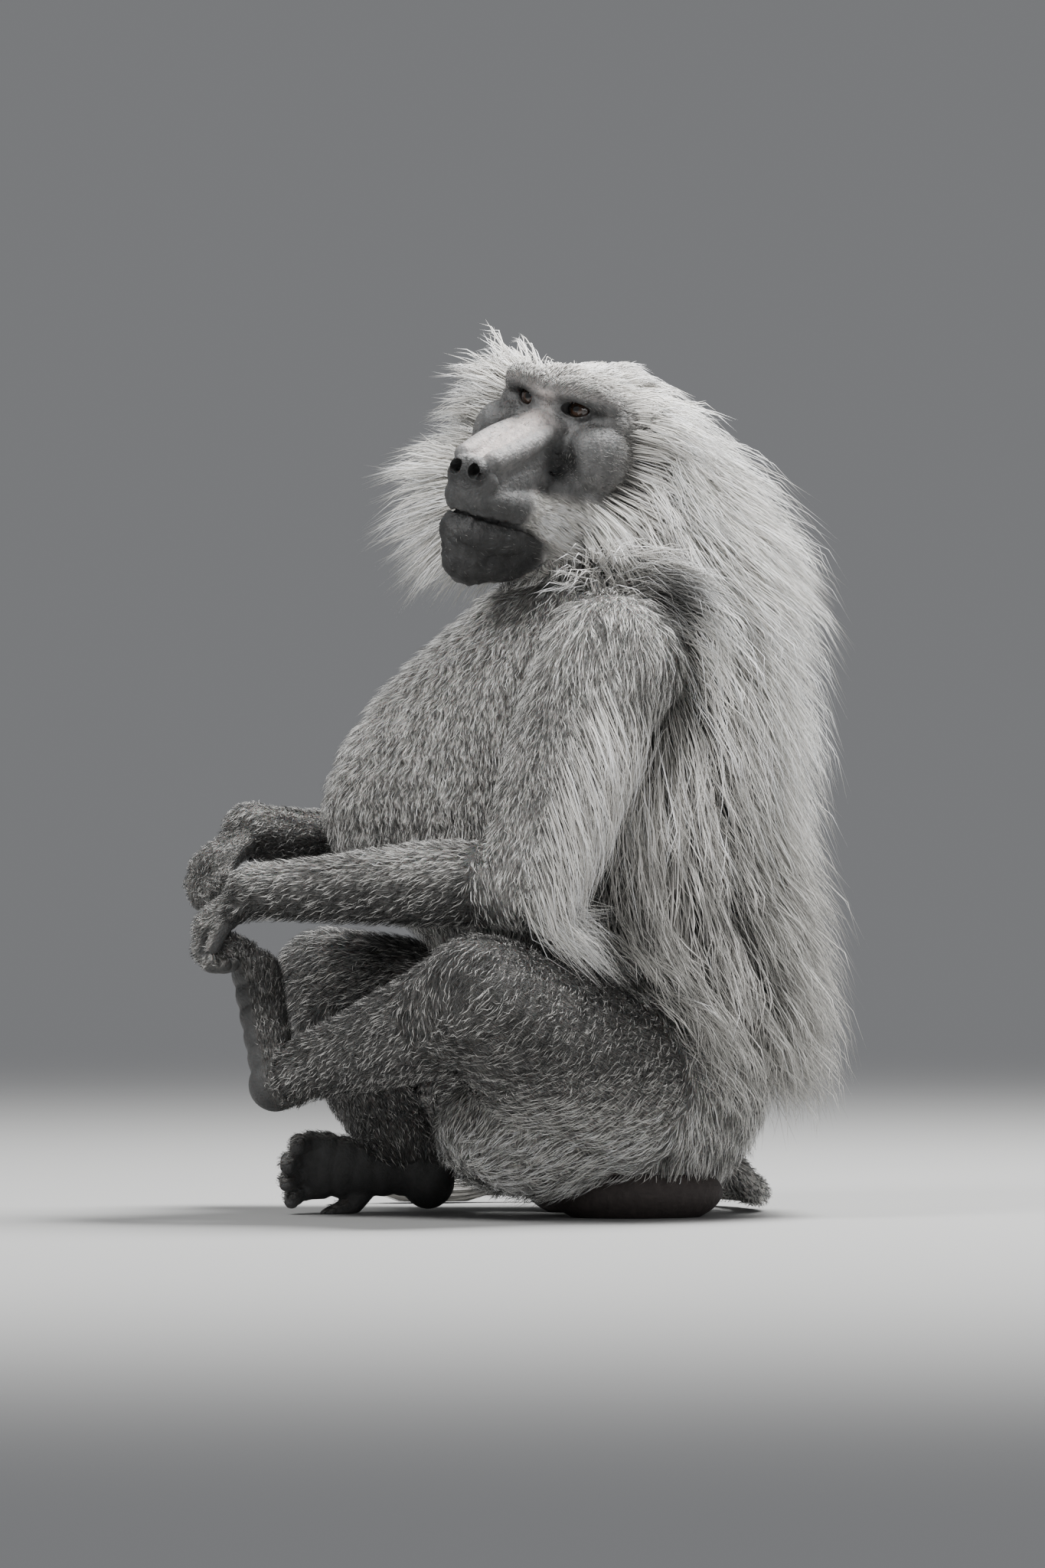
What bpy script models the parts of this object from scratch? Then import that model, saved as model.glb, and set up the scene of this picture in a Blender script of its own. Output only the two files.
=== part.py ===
"""A sitting adult male hamadryas baboon, life size, as a still museum model. Metres, +Z up.

It faces -Y, its left side is +X, and z = 0 is the floor that it sits on. The flesh nodes reach out to
the tips of the short coat. The mane starts from a core that is half as deep as the long coat.
"""
import math
import random

import bmesh
import bpy
import numpy as np
from mathutils import Matrix, Vector
from mathutils.bvhtree import BVHTree

for item in list(bpy.data.objects):
    bpy.data.objects.remove(item, do_unlink=True)

scene = bpy.context.scene
dice = random.Random(7)

# Gap kept between two nodes that meet
GAP = 0.0003

# Depth of the long coat outside the flesh, and the share of it that the core fills
CAPE_DEPTH = 0.056
RUFF_DEPTH = 0.085
CORE_SHARE = 0.48

# The head is turned to its left, its muzzle lifted, its left side lower
EYES_MIDDLE = Vector((0.050, 0.005, 0.658))
HEAD_YAW = math.radians(46)
HEAD_PITCH = math.radians(5)
HEAD_ROLL = math.radians(13)
EYE_SPACING = 0.048
EYE_RADIUS = 0.0115

# Joints of the near (left) and far (right) limbs
LEFT_ARM = dict(
    shoulder=Vector((0.120, 0.040, 0.450)),
    elbow=Vector((0.168, -0.040, 0.272)),
    wrist=Vector((0.070, -0.242, 0.265)),
)
RIGHT_ARM = dict(
    shoulder=Vector((-0.120, 0.035, 0.450)),
    elbow=Vector((-0.165, -0.060, 0.275)),
    wrist=Vector((-0.022, -0.230, 0.311)),
)
LEFT_LEG = dict(
    hip=Vector((0.085, 0.045, 0.110)),
    knee=Vector((0.205, -0.085, 0.186)),
    ankle=Vector((0.052, -0.190, 0.124)),
)
RIGHT_LEG = dict(
    hip=Vector((-0.085, 0.045, 0.110)),
    knee=Vector((-0.185, -0.140, 0.182)),
    ankle=Vector((-0.052, -0.108, 0.058)),
)


def material(name, colour, roughness):
    """A Principled material of one colour."""
    made = bpy.data.materials.new(name)
    made.use_nodes = True
    shader = made.node_tree.nodes["Principled BSDF"]
    shader.inputs["Base Color"].default_value = (*colour, 1.0)
    shader.inputs["Roughness"].default_value = roughness
    shader.inputs["Metallic"].default_value = 0.0
    return made


FACE_SKIN = material("face_skin", (0.42, 0.33, 0.30), 0.6)
MANE_HAIR = material("mane_hair", (0.72, 0.70, 0.66), 0.8)
BODY_COAT = material("body_coat", (0.45, 0.43, 0.40), 0.85)
HAND_SKIN = material("hand_skin", (0.16, 0.14, 0.13), 0.6)
BARE_PAD = material("bare_pad", (0.25, 0.17, 0.16), 0.5)
EYE_GLOSS = material("eye_gloss", (0.10, 0.05, 0.03), 0.1)


def put(name, mesh, look=None):
    """A mesh as an object of the scene."""
    made = bpy.data.objects.new(name, mesh)
    scene.collection.objects.link(made)
    if look:
        made.data.materials.clear()
        made.data.materials.append(look)
    return made


def settle(body):
    """Makes the body's modifiers final."""
    graph = bpy.context.evaluated_depsgraph_get()
    mesh = bpy.data.meshes.new_from_object(body.evaluated_get(graph))
    body.modifiers.clear()
    body.data = mesh
    return body


def ball(form, centre, radii, turn=None, detail=2):
    """Adds an ellipsoid to a bmesh. turn is the matrix of its axes."""
    place = Matrix.Translation(centre)
    if turn:
        place = place @ turn.to_4x4()
    place = place @ Matrix.Diagonal((*radii, 1.0))
    bmesh.ops.create_icosphere(form, subdivisions=detail, radius=1.0, matrix=place)


def along(points, share):
    """A point at that share of a smooth curve through the points."""
    spans = len(points) - 1
    at = min(share, 0.9999) * spans
    span = int(at)
    t = at - span
    before = points[max(span - 1, 0)]
    start = points[span]
    end = points[span + 1]
    after = points[min(span + 2, spans)]
    return 0.5 * (
        2 * start
        + (end - before) * t
        + (2 * before - 5 * start + 4 * end - after) * t * t
        + (3 * start - before - 3 * end + after) * t**3
    )


def run(form, points, radii, detail=2):
    """Adds a row of close balls along a smooth curve."""
    length = sum((b - a).length for a, b in zip(points, points[1:]))
    steps = max(3, int(length / (0.35 * min(radii))))
    shares = [i / steps for i in range(steps + 1)]
    sizes = [Vector((r, 0, 0)) for r in radii]
    for share in shares:
        radius = along(sizes, share)[0]
        ball(form, along(points, share), (radius, radius, radius), None, detail)


def fuse(name, form, voxel, smooth, faces, look):
    """One closed smooth skin round all the shapes of a bmesh, thinned to about so many triangles."""
    mesh = bpy.data.meshes.new(name)
    form.to_mesh(mesh)
    form.free()
    body = put(name, mesh, look)
    remesh = body.modifiers.new("Skin", "REMESH")
    remesh.mode = "VOXEL"
    remesh.voxel_size = voxel
    relax = body.modifiers.new("Relax", "SMOOTH")
    relax.factor = 0.5
    relax.iterations = smooth
    settle(body)
    return thin(body, faces, look)


def thin(body, faces, look):
    """Lowers a body to about so many triangles."""
    body.data.calc_loop_triangles()
    count = len(body.data.loop_triangles)
    if count > faces:
        fewer = body.modifiers.new("Fewer", "DECIMATE")
        fewer.ratio = faces / count
        fewer.use_collapse_triangulate = True
        settle(body)
    body.data.materials.clear()
    body.data.materials.append(look)
    return body


def keep_largest(body):
    """Drops every closed surface of a body but the largest, and closes the rest to clean triangles."""
    form = bmesh.new()
    form.from_mesh(body.data)
    bmesh.ops.dissolve_degenerate(form, dist=2e-6, edges=form.edges)
    bmesh.ops.triangulate(form, faces=form.faces)
    seen = set()
    groups = []
    for start in form.faces:
        if start in seen:
            continue
        group = []
        stack = [start]
        seen.add(start)
        while stack:
            face = stack.pop()
            group.append(face)
            for edge in face.edges:
                for other in edge.link_faces:
                    if other not in seen:
                        seen.add(other)
                        stack.append(other)
        groups.append(group)
    groups.sort(key=len)
    for group in groups[:-1]:
        bmesh.ops.delete(form, geom=group, context="FACES")
    form.to_mesh(body.data)
    form.free()
    return body


def sound(mesh):
    """Whether every edge of a mesh lies between two faces."""
    form = bmesh.new()
    form.from_mesh(mesh)
    good = all(len(edge.link_faces) == 2 for edge in form.edges)
    form.free()
    return good


def boolean(body, others, operation):
    """Cuts the others from a body, or joins them to it, and removes them."""
    before = body.data
    group = bpy.data.collections.new("operands")
    scene.collection.children.link(group)
    for other in others:
        scene.collection.objects.unlink(other)
        group.objects.link(other)
    for solver in ("EXACT", "MANIFOLD"):
        body.data = before
        step = body.modifiers.new("Join", "BOOLEAN")
        step.operation = operation
        step.operand_type = "COLLECTION"
        step.collection = group
        step.solver = solver
        settle(body)
        if len(body.data.polygons) > 0.5 * len(before.polygons) and sound(body.data):
            break
    for other in others:
        bpy.data.objects.remove(other, do_unlink=True)
    bpy.data.collections.remove(group)
    return keep_largest(body)


def swollen(body, by):
    """A copy of a body, moved outwards along its normals."""
    mesh = body.data.copy()
    points = np.empty(len(mesh.vertices) * 3)
    mesh.vertices.foreach_get("co", points)
    normals = np.array([tuple(v.normal) for v in mesh.vertices]).reshape(-1)
    mesh.vertices.foreach_set("co", points + by * normals)
    mesh.update()
    return put(body.name + "_room", mesh)


def make_room(body, *others):
    """Cuts a body clear of others that are set into it, by the gap."""
    return boolean(body, [swollen(other, 1.25 * GAP) for other in others], "DIFFERENCE")


def trim(body, point, normal):
    """Cuts a body flat at a plane, half the gap off it, and keeps the side that the normal faces."""
    form = bmesh.new()
    form.from_mesh(body.data)
    cut = bmesh.ops.bisect_plane(
        form,
        geom=form.verts[:] + form.edges[:] + form.faces[:],
        dist=1e-6,
        plane_co=point + normal.normalized() * 0.5 * GAP,
        plane_no=normal,
        clear_inner=True,
    )
    rim = [g for g in cut["geom_cut"] if isinstance(g, bmesh.types.BMEdge) and g.is_boundary]
    bmesh.ops.holes_fill(form, edges=rim, sides=0)
    bmesh.ops.triangulate(form, faces=form.faces)
    bmesh.ops.recalc_face_normals(form, faces=form.faces)
    form.to_mesh(body.data)
    form.free()
    return keep_largest(body)


def on_floor(body, level=0.0):
    """Cuts a body flat where it goes under the floor."""
    low = min(v.co.z for v in body.data.vertices)
    if low < level:
        trim(body, Vector((0, 0, level - 0.5 * GAP)), Vector((0, 0, 1)))
    return body


# Trunk: stations up the body, each with its height, its front and back, and its half width in the flesh
TRUNK = (
    (0.030, 0.005, 0.152, 0.100),
    (0.080, 0.000, 0.184, 0.125),
    (0.150, -0.040, 0.198, 0.130),
    (0.220, -0.092, 0.194, 0.130),
    (0.290, -0.165, 0.182, 0.128),
    (0.340, -0.181, 0.180, 0.128),
    (0.400, -0.151, 0.185, 0.128),
    (0.450, -0.100, 0.182, 0.122),
    (0.490, -0.052, 0.165, 0.104),
)
TRUNK_STEPS = 26


def trunk_form():
    """Ellipsoids up the trunk, with the cape's core added at the back and sides."""
    form = bmesh.new()
    stations = [Vector(row[1:]) for row in TRUNK]
    heights = [Vector((row[0], 0, 0)) for row in TRUNK]
    core = CAPE_DEPTH * CORE_SHARE
    for step in range(TRUNK_STEPS + 1):
        share = step / TRUNK_STEPS
        front, back, half = along(stations, share)
        height = along(heights, share)[0]
        depth = 0.5 * (back - front)
        middle = Vector((0, 0.5 * (back + front), height))
        ball(form, middle, (half, depth, 0.038), detail=3)
        cape_middle = Vector((0, back - 0.085, max(height, 0.07)))
        ball(form, cape_middle, (half + 0.9 * core, 0.085 + core, 0.04), detail=3)
    return form


def turned_frame(yaw, pitch, roll):
    """Axes (forward, left, up) of a head that faces -Y before it is turned."""
    facing = Matrix(((0, 1, 0), (-1, 0, 0), (0, 0, 1)))
    lean = Matrix.Rotation(-pitch, 3, "Y") @ Matrix.Rotation(-roll, 3, "X")
    return Matrix.Rotation(yaw, 3, "Z") @ facing @ lean


HEAD_AXES = turned_frame(HEAD_YAW, HEAD_PITCH, HEAD_ROLL)


def at_head(forward, left, up):
    """A point given from midway between the eyes, along the head's own axes."""
    return EYES_MIDDLE + HEAD_AXES @ Vector((forward, left, up))


def head_ball(form, centre, radii, detail=3):
    """An ellipsoid set in the head, along its axes."""
    ball(form, at_head(*centre), radii, HEAD_AXES, detail)


def head_run(form, points, radii):
    """A row of balls set in the head."""
    run(form, [at_head(*p) for p in points], radii)


# Muzzle of a grown male, from between the eyes: its length, and the heights of its lines
MUZZLE_LENGTH = 0.1015
MOUTH_LINE = -0.0995
EYE_BACK = -0.009


def head_form():
    """Skull, brows, cheeks, muzzle, nose and jaw as overlapping ellipsoids, with the ruff's core behind them."""
    form = bmesh.new()
    head_ball(form, (-0.056, 0, -0.006), (0.060, 0.052, 0.043))
    head_ball(form, (-0.022, 0, 0.004), (0.036, 0.044, 0.032))
    head_ball(form, (-0.020, 0, -0.030), (0.034, 0.052, 0.038))
    for side in (-1, 1):
        brow = [(-0.012, 0.047 * side, 0.009), (0.003, 0.034 * side, 0.0155), (0.0095, 0.015 * side, 0.0150)]
        head_run(form, brow, [0.0115, 0.0120, 0.0105])
        head_ball(form, (-0.034, 0.046 * side, -0.010), (0.032, 0.027, 0.030))
        head_ball(form, (-0.014, 0.049 * side, -0.037), (0.038, 0.033, 0.033))
        head_ball(form, (-0.034, 0.047 * side, -0.070), (0.042, 0.031, 0.042))
        head_ball(form, (-0.004, 0.034 * side, -0.064), (0.034, 0.022, 0.030))
        head_ball(form, (0.000, 0.031 * side, -0.092), (0.042, 0.022, 0.030))
        ridge = [(-0.004, 0.015 * side, -0.017), (0.042, 0.0178 * side, -0.0365), (0.083, 0.0143 * side, -0.0545)]
        head_run(form, ridge, [0.0098, 0.0108, 0.0098])
        head_ball(form, (0.0915, 0.0095 * side, -0.0655), (0.0120, 0.0095, 0.0120))
        head_ball(form, (0.0830, 0.0160 * side, -0.0700), (0.0130, 0.0085, 0.0115))
        lip = [(0.030, 0.024 * side, -0.086), (0.064, 0.0200 * side, -0.086), (0.0840, 0.0080 * side, -0.086)]
        head_run(form, lip, [0.0175, 0.0155, 0.0140])
        under = [(0.025, 0.024 * side, -0.113), (0.060, 0.0180 * side, -0.114), (0.0785, 0.0065 * side, -0.115)]
        head_run(form, under, [0.0170, 0.0165, 0.0160])
        jaw = [(-0.045, 0.040 * side, -0.100), (0.010, 0.025 * side, -0.122), (0.056, 0.008 * side, -0.134)]
        head_run(form, jaw, [0.025, 0.022, 0.019])
    head_run(form, [(0.004, -0.02, 0.012), (0.008, 0, 0.0105), (0.004, 0.02, 0.012)], [0.011, 0.011, 0.011])
    muzzle = [(0.0, 0, -0.038), (0.042, 0, -0.062), (0.076, 0, -0.078)]
    head_run(form, muzzle, [0.034, 0.031, 0.0255])
    head_ball(form, (0.036, 0, -0.085), (0.046, 0.032, 0.021))
    head_ball(form, (0.0900, 0, -0.066), (0.0125, 0.0130, 0.0145))
    head_ball(form, (0.066, 0, -0.124), (0.0270, 0.0235, 0.0200))
    head_ball(form, (0.063, 0, -0.134), (0.0265, 0.0230, 0.0235))
    head_ball(form, (0.025, 0, -0.115), (0.050, 0.030, 0.030))
    head_ball(form, (-0.030, 0, -0.105), (0.050, 0.044, 0.040))
    return form


RUFF_EDGE = 0.060
RUFF_REACH = 0.178


def ruff_form(form):
    """The core of the ruff: a thick collar round the back and sides of the head, flared a little forward."""
    reach = (RUFF_REACH - RUFF_EDGE) * CORE_SHARE
    rise = 0.018 * CORE_SHARE
    head_ball(form, (-0.070, 0, -0.010), (0.062, 0.058 + 0.10 * reach, 0.040 + rise))
    for side in (-1, 1):
        half = 0.020 + 0.5 * reach
        flare = Matrix.Rotation(math.radians(12) * side, 3, "Z")
        lobe = at_head(-0.052, (RUFF_EDGE - 0.020 + half) * side, -0.088)
        ball(form, lobe, (0.024 + 0.012 * CORE_SHARE, half, 0.060 + 0.030 * CORE_SHARE), HEAD_AXES @ flare, 3)
        half = 0.020 + 0.28 * reach
        top = at_head(-0.082, (RUFF_EDGE - 0.020 + half) * side, -0.018)
        ball(form, top, (0.024, half, 0.042 + 0.4 * rise), HEAD_AXES @ flare, 3)
        head_run(form, [(-0.055, 0.045 * side, -0.100), (-0.030, 0.02 * side, -0.135)], [0.030, 0.026])


# The planes at which the neck meets the head and the torso
NAPE_POINT = at_head(-0.105, 0, 0.020)
NAPE_NORMAL = HEAD_AXES @ Vector((0.970, 0, 0.245))
THROAT_POINT = Vector((0, 0.100, 0.500))
THROAT_NORMAL = Vector((0, 0.35, 0.94))

head_whole = head_form()
ruff_form(head_whole)
head = fuse("head", head_whole, 0.0035, 5, 1040, FACE_SKIN)
trim(head, NAPE_POINT, NAPE_NORMAL)


def eye_centre(side):
    return at_head(EYE_BACK, 0.5 * EYE_SPACING * side, 0)


def cutter(name, form):
    """A helper mesh made of a bmesh."""
    mesh = bpy.data.meshes.new(name)
    form.to_mesh(mesh)
    form.free()
    return put(name, mesh)


LID_RADIUS = EYE_RADIUS + 0.0022


def open_eye(side):
    """A ball of lids round the eye, less the eye's room and the almond between the lids."""
    form = bmesh.new()
    ball(form, eye_centre(side), (LID_RADIUS, LID_RADIUS, LID_RADIUS), HEAD_AXES, 2)
    boolean(head, [cutter("lids", form)], "UNION")
    room = bmesh.new()
    wide = EYE_RADIUS + 1.6 * GAP
    ball(room, eye_centre(side), (wide, wide, wide), HEAD_AXES, 3)
    almond = bmesh.new()
    tilt = HEAD_AXES @ Matrix.Rotation(math.radians(9) * side, 3, "X")
    centre = at_head(EYE_BACK + 0.012, (0.5 * EYE_SPACING + 0.0015) * side, -0.0005)
    ball(almond, centre, (0.014, 0.0105, 0.0056), tilt, 2)
    boolean(head, [cutter("eye_room", room), cutter("almond", almond)], "DIFFERENCE")


def nostril(side):
    """A nostril that opens forward and a little outward."""
    form = bmesh.new()
    turn = HEAD_AXES @ Matrix.Rotation(math.radians(22) * side, 3, "Z") @ Matrix.Rotation(math.radians(12), 3, "Y")
    ball(form, at_head(MUZZLE_LENGTH, 0.0094 * side, -0.0650), (0.010, 0.0050, 0.0058), turn, 1)
    boolean(head, [cutter("nostril", form)], "DIFFERENCE")


MOUTH_STEPS = 14
MOUTH_DEPTH = 0.0045
MOUTH_SAG = 0.0045


def mouth():
    """The line of the mouth: a wedge cut all round the muzzle from corner to corner."""
    skin = BVHTree.FromObject(head, bpy.context.evaluated_depsgraph_get())
    form = bmesh.new()
    rows = []
    for step in range(MOUTH_STEPS + 1):
        turn = math.radians(-118 + 236 * step / MOUTH_STEPS)
        drop = MOUTH_SAG * (2 * step / MOUTH_STEPS - 1) ** 2
        inside = at_head(0.050, 0, MOUTH_LINE - drop)
        outward = HEAD_AXES @ Vector((math.cos(turn), math.sin(turn), 0))
        hit = skin.ray_cast(inside + outward * 0.2, -outward)[0]
        fade = 0.25 + 0.75 * min(1.0, 4 * min(step, MOUTH_STEPS - step) / MOUTH_STEPS)
        rise = HEAD_AXES @ Vector((0, 0, 0.0016 * fade))
        deep = hit - outward * MOUTH_DEPTH * fade
        wide = hit + outward * 0.006
        rows.append([form.verts.new(p) for p in (deep, wide - 3 * rise, wide + 3 * rise)])
    for first, second in zip(rows, rows[1:]):
        for i in range(3):
            form.faces.new((first[i], first[(i + 1) % 3], second[(i + 1) % 3], second[i]))
    form.faces.new(rows[0])
    form.faces.new(rows[-1])
    bmesh.ops.triangulate(form, faces=form.faces)
    bmesh.ops.recalc_face_normals(form, faces=form.faces)
    boolean(head, [cutter("mouth", form)], "DIFFERENCE")


for side in (-1, 1):
    open_eye(side)
    nostril(side)
mouth()

EAR_HEIGHT = 0.046
EAR_WIDTH = 0.032


def ear(name, side):
    """A rounded ear: a bowl with a rim, open outwards and forwards."""
    form = bmesh.new()
    facing = HEAD_AXES @ Matrix.Rotation(math.radians(-62) * side, 3, "Z") @ Matrix.Rotation(math.radians(-8), 3, "Y")
    centre = at_head(-0.048, 0.075 * side, 0.000)
    ball(form, centre, (0.008, 0.5 * EAR_WIDTH, 0.5 * EAR_HEIGHT), facing, 3)
    bowl = cutter(name, form)
    outward = facing @ Vector((1, 0, 0))
    if outward.dot(HEAD_AXES @ Vector((0, side, 0))) < 0:
        outward = -outward
    form = bmesh.new()
    ball(form, centre + outward * 0.0075, (0.0085, 0.5 * EAR_WIDTH - 0.004, 0.5 * EAR_HEIGHT - 0.005), facing, 2)
    thin(bowl, 170, FACE_SKIN)
    return boolean(bowl, [cutter("cup", form)], "DIFFERENCE")


def eye(name, side):
    """An eyeball with a slightly raised cornea."""
    form = bmesh.new()
    ball(form, eye_centre(side), (EYE_RADIUS, EYE_RADIUS, EYE_RADIUS), HEAD_AXES, 3)
    made = cutter(name, form)
    return thin(made, 180, EYE_GLOSS)


eye_left = eye("eye_left", 1)
eye_right = eye("eye_right", -1)
ear_left = ear("ear_left", 1)
ear_right = ear("ear_right", -1)
make_room(head, ear_left, ear_right)
head.data.materials.clear()
head.data.materials.append(FACE_SKIN)


def neck_form():
    """The neck with the mane's core on the nape and sides."""
    form = bmesh.new()
    core = RUFF_DEPTH * CORE_SHARE
    skull = at_head(-0.075, 0, -0.02)
    base = Vector((0, 0.085, 0.500))
    run(form, [skull, 0.5 * (skull + base) + Vector((0, 0.01, 0)), base], [0.052, 0.070, 0.095], detail=3)
    ball(form, (-0.004, 0.105, 0.592), (0.070 + 0.75 * core, 0.055 + 0.74 * core, 0.050 + 0.32 * core), detail=3)
    ball(form, (0, 0.112, 0.530), (0.088 + 0.82 * core, 0.066 + 0.68 * core, 0.060 + 0.3 * core), detail=3)
    ball(form, (0, 0.070, 0.515), (0.100 + 0.5 * core, 0.085, 0.045), detail=3)
    return form


neck = fuse("neck", neck_form(), 0.006, 8, 240, MANE_HAIR)
trim(neck, NAPE_POINT, -NAPE_NORMAL)
trim(neck, THROAT_POINT, THROAT_NORMAL)


def upper_arm_form(joints, side):
    """Shoulder to elbow in the short coat."""
    form = bmesh.new()
    shoulder, elbow = joints["shoulder"], joints["elbow"]
    bulge = shoulder.lerp(elbow, 0.45) + Vector((0.004 * side, -0.006, 0))
    run(form, [shoulder, bulge, elbow], [0.062, 0.053, 0.041], detail=3)
    return form


def forearm_form(joints):
    """Elbow to wrist in the short coat."""
    form = bmesh.new()
    elbow, wrist = joints["elbow"], joints["wrist"]
    belly = elbow.lerp(wrist, 0.3) + Vector((0, 0, 0.002))
    run(form, [elbow, belly, elbow.lerp(wrist, 0.75), wrist], [0.037, 0.040, 0.031, 0.025], detail=3)
    return form


def thigh_form(joints, side):
    """Hip to knee in the short coat, with the ham under it."""
    form = bmesh.new()
    hip, knee = joints["hip"], joints["knee"]
    middle = hip.lerp(knee, 0.5) + Vector((0, -0.012, 0.004))
    run(form, [hip, middle, knee], [0.084, 0.074, 0.053], detail=3)
    ball(form, hip + Vector((0.006 * side, -0.060, -0.040)), (0.062, 0.088, 0.060), detail=3)
    return form


def shank_form(joints):
    """Knee to ankle in the short coat."""
    form = bmesh.new()
    knee, ankle = joints["knee"], joints["ankle"]
    calf = knee.lerp(ankle, 0.4) + Vector((0, 0.002, -0.006))
    run(form, [knee, calf, ankle], [0.050, 0.047, 0.030], detail=3)
    return form


upper_arm_left = fuse("upper_arm_left", upper_arm_form(LEFT_ARM, 1), 0.005, 8, 165, BODY_COAT)
upper_arm_right = fuse("upper_arm_right", upper_arm_form(RIGHT_ARM, -1), 0.005, 8, 165, BODY_COAT)
forearm_left = fuse("forearm_left", forearm_form(LEFT_ARM), 0.004, 8, 170, BODY_COAT)
forearm_right = fuse("forearm_right", forearm_form(RIGHT_ARM), 0.004, 8, 170, BODY_COAT)
thigh_left = fuse("thigh_left", thigh_form(LEFT_LEG, 1), 0.006, 8, 200, BODY_COAT)
thigh_right = fuse("thigh_right", thigh_form(RIGHT_LEG, -1), 0.006, 8, 200, BODY_COAT)
shank_left = fuse("shank_left", shank_form(LEFT_LEG), 0.005, 8, 150, BODY_COAT)
shank_right = fuse("shank_right", shank_form(RIGHT_LEG), 0.005, 8, 150, BODY_COAT)


def paw_form(form, root, forward, back, palm, toes, curl, thumb):
    """A hand or foot: a flat palm, four bent fingers and a thumb.

    palm is (length, half width, half depth), toes is (length, radius), thumb is (side, length, share of
    the palm's length, radius).
    """
    forward = forward.normalized()
    back = (back - forward * back.dot(forward)).normalized()
    across = forward.cross(back) * thumb[0]
    length, half, depth = palm
    axes = Matrix((forward, across, back)).transposed()
    for share in (0.0, 0.25, 0.5, 0.75, 1.0):
        wide = half * (0.72 + 0.28 * share)
        place = root + forward * length * share
        ball(form, place, (0.30 * length, wide, depth), axes, 3)
    knuckles = root + forward * length
    for finger in range(4):
        off = (finger - 1.5) / 1.5
        reach = toes[0] * (1.0 - 0.16 * abs(off + 0.15))
        start = knuckles + across * off * (half - toes[1]) - forward * 0.004 * abs(off)
        points = [start]
        for joint in range(1, 4):
            bend = curl * (joint - 0.35) / 2.65
            step = forward * math.cos(bend) - back * math.sin(bend)
            points.append(points[-1] + (step + across * 0.10 * off) * reach * (0.42, 0.33, 0.25)[joint - 1])
        run(form, points, [toes[1] * 1.05, toes[1] * 0.95, toes[1] * 0.88, toes[1] * 0.8])
    base = root + forward * length * thumb[2] + across * half * 0.6
    aim = (across * 0.75 + forward * 0.6 - back * 0.35).normalized()
    bent = (across * 0.25 + forward * 0.85 - back * 0.5).normalized()
    middle = base + aim * thumb[1] * 0.5
    run(form, [base, middle, middle + bent * thumb[1] * 0.5], [thumb[3] * 1.15, thumb[3], thumb[3] * 0.8])


HAND_PALM = (0.048, 0.027, 0.0145)
HAND_FINGERS = (0.056, 0.0085)
FOOT_FINGERS = (0.046, 0.0090)


def left_hand():
    form = bmesh.new()
    wrist = LEFT_ARM["wrist"]
    forward = Vector((-0.62, -0.60, -0.50))
    paw_form(form, wrist + Vector((0, 0, -0.002)), forward, Vector((-0.2, -0.7, 0.7)), HAND_PALM, HAND_FINGERS,
             math.radians(150), (-1, 0.034, 0.35, 0.0085))
    ball(form, wrist, (0.024, 0.024, 0.022), detail=3)
    return form


def right_hand():
    form = bmesh.new()
    wrist = RIGHT_ARM["wrist"]
    forward = Vector((0.50, -0.72, -0.48))
    paw_form(form, wrist + Vector((0, 0, -0.002)), forward, Vector((0.1, -0.5, 0.85)), HAND_PALM, HAND_FINGERS,
             math.radians(135), (1, 0.034, 0.35, 0.0085))
    ball(form, wrist, (0.024, 0.024, 0.022), detail=3)
    return form


def left_foot():
    """The near foot, held up with its sole forward and its toes under the hands."""
    form = bmesh.new()
    ankle = LEFT_LEG["ankle"]
    heel = Vector((0.038, -0.220, 0.108))
    forward = Vector((-0.28, -0.12, 0.95))
    ball(form, heel, (0.026, 0.024, 0.024), detail=3)
    run(form, [ankle, heel], [0.028, 0.024], detail=3)
    paw_form(form, heel + forward * 0.022, forward, Vector((0.45, 0.85, 0.35)), (0.070, 0.030, 0.0205),
             FOOT_FINGERS, math.radians(60), (1, 0.040, 0.45, 0.010))
    return form


def right_foot():
    """The far foot, on its outer edge on the floor, its sole towards the middle."""
    form = bmesh.new()
    ankle = RIGHT_LEG["ankle"]
    heel = Vector((-0.040, -0.082, 0.027))
    forward = Vector((-0.03, -0.99, 0.08))
    ball(form, heel, (0.020, 0.023, 0.024), detail=3)
    run(form, [ankle, heel], [0.029, 0.022], detail=3)
    paw_form(form, heel + forward * 0.020 + Vector((0, 0, 0.006)), forward, Vector((-0.85, 0, 0.35)),
             (0.068, 0.030, 0.0165), FOOT_FINGERS, math.radians(70), (1, 0.040, 0.45, 0.010))
    return form


hand_left = fuse("hand_left", left_hand(), 0.0028, 3, 390, HAND_SKIN)
hand_right = fuse("hand_right", right_hand(), 0.0028, 3, 390, HAND_SKIN)
foot_left = fuse("foot_left", left_foot(), 0.0028, 3, 390, HAND_SKIN)
foot_right = fuse("foot_right", right_foot(), 0.0028, 3, 390, HAND_SKIN)


def tail_path():
    """From the rump down to the floor and round to the far side."""
    return [
        Vector((0.0, 0.110, 0.062)),
        Vector((0.002, 0.150, 0.046)),
        Vector((-0.006, 0.176, 0.022)),
        Vector((-0.050, 0.190, 0.0155)),
        Vector((-0.120, 0.182, 0.0145)),
        Vector((-0.195, 0.140, 0.0140)),
        Vector((-0.240, 0.065, 0.0135)),
        Vector((-0.245, -0.020, 0.0135)),
    ]


TAIL_RADII = [0.021, 0.020, 0.0175, 0.0165, 0.0155, 0.0150, 0.0145, 0.0145]
TUFT_LENGTH = 0.085

tail_form = bmesh.new()
run(tail_form, tail_path(), TAIL_RADII, detail=3)
tail = fuse("tail", tail_form, 0.004, 6, 300, BODY_COAT)

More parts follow.
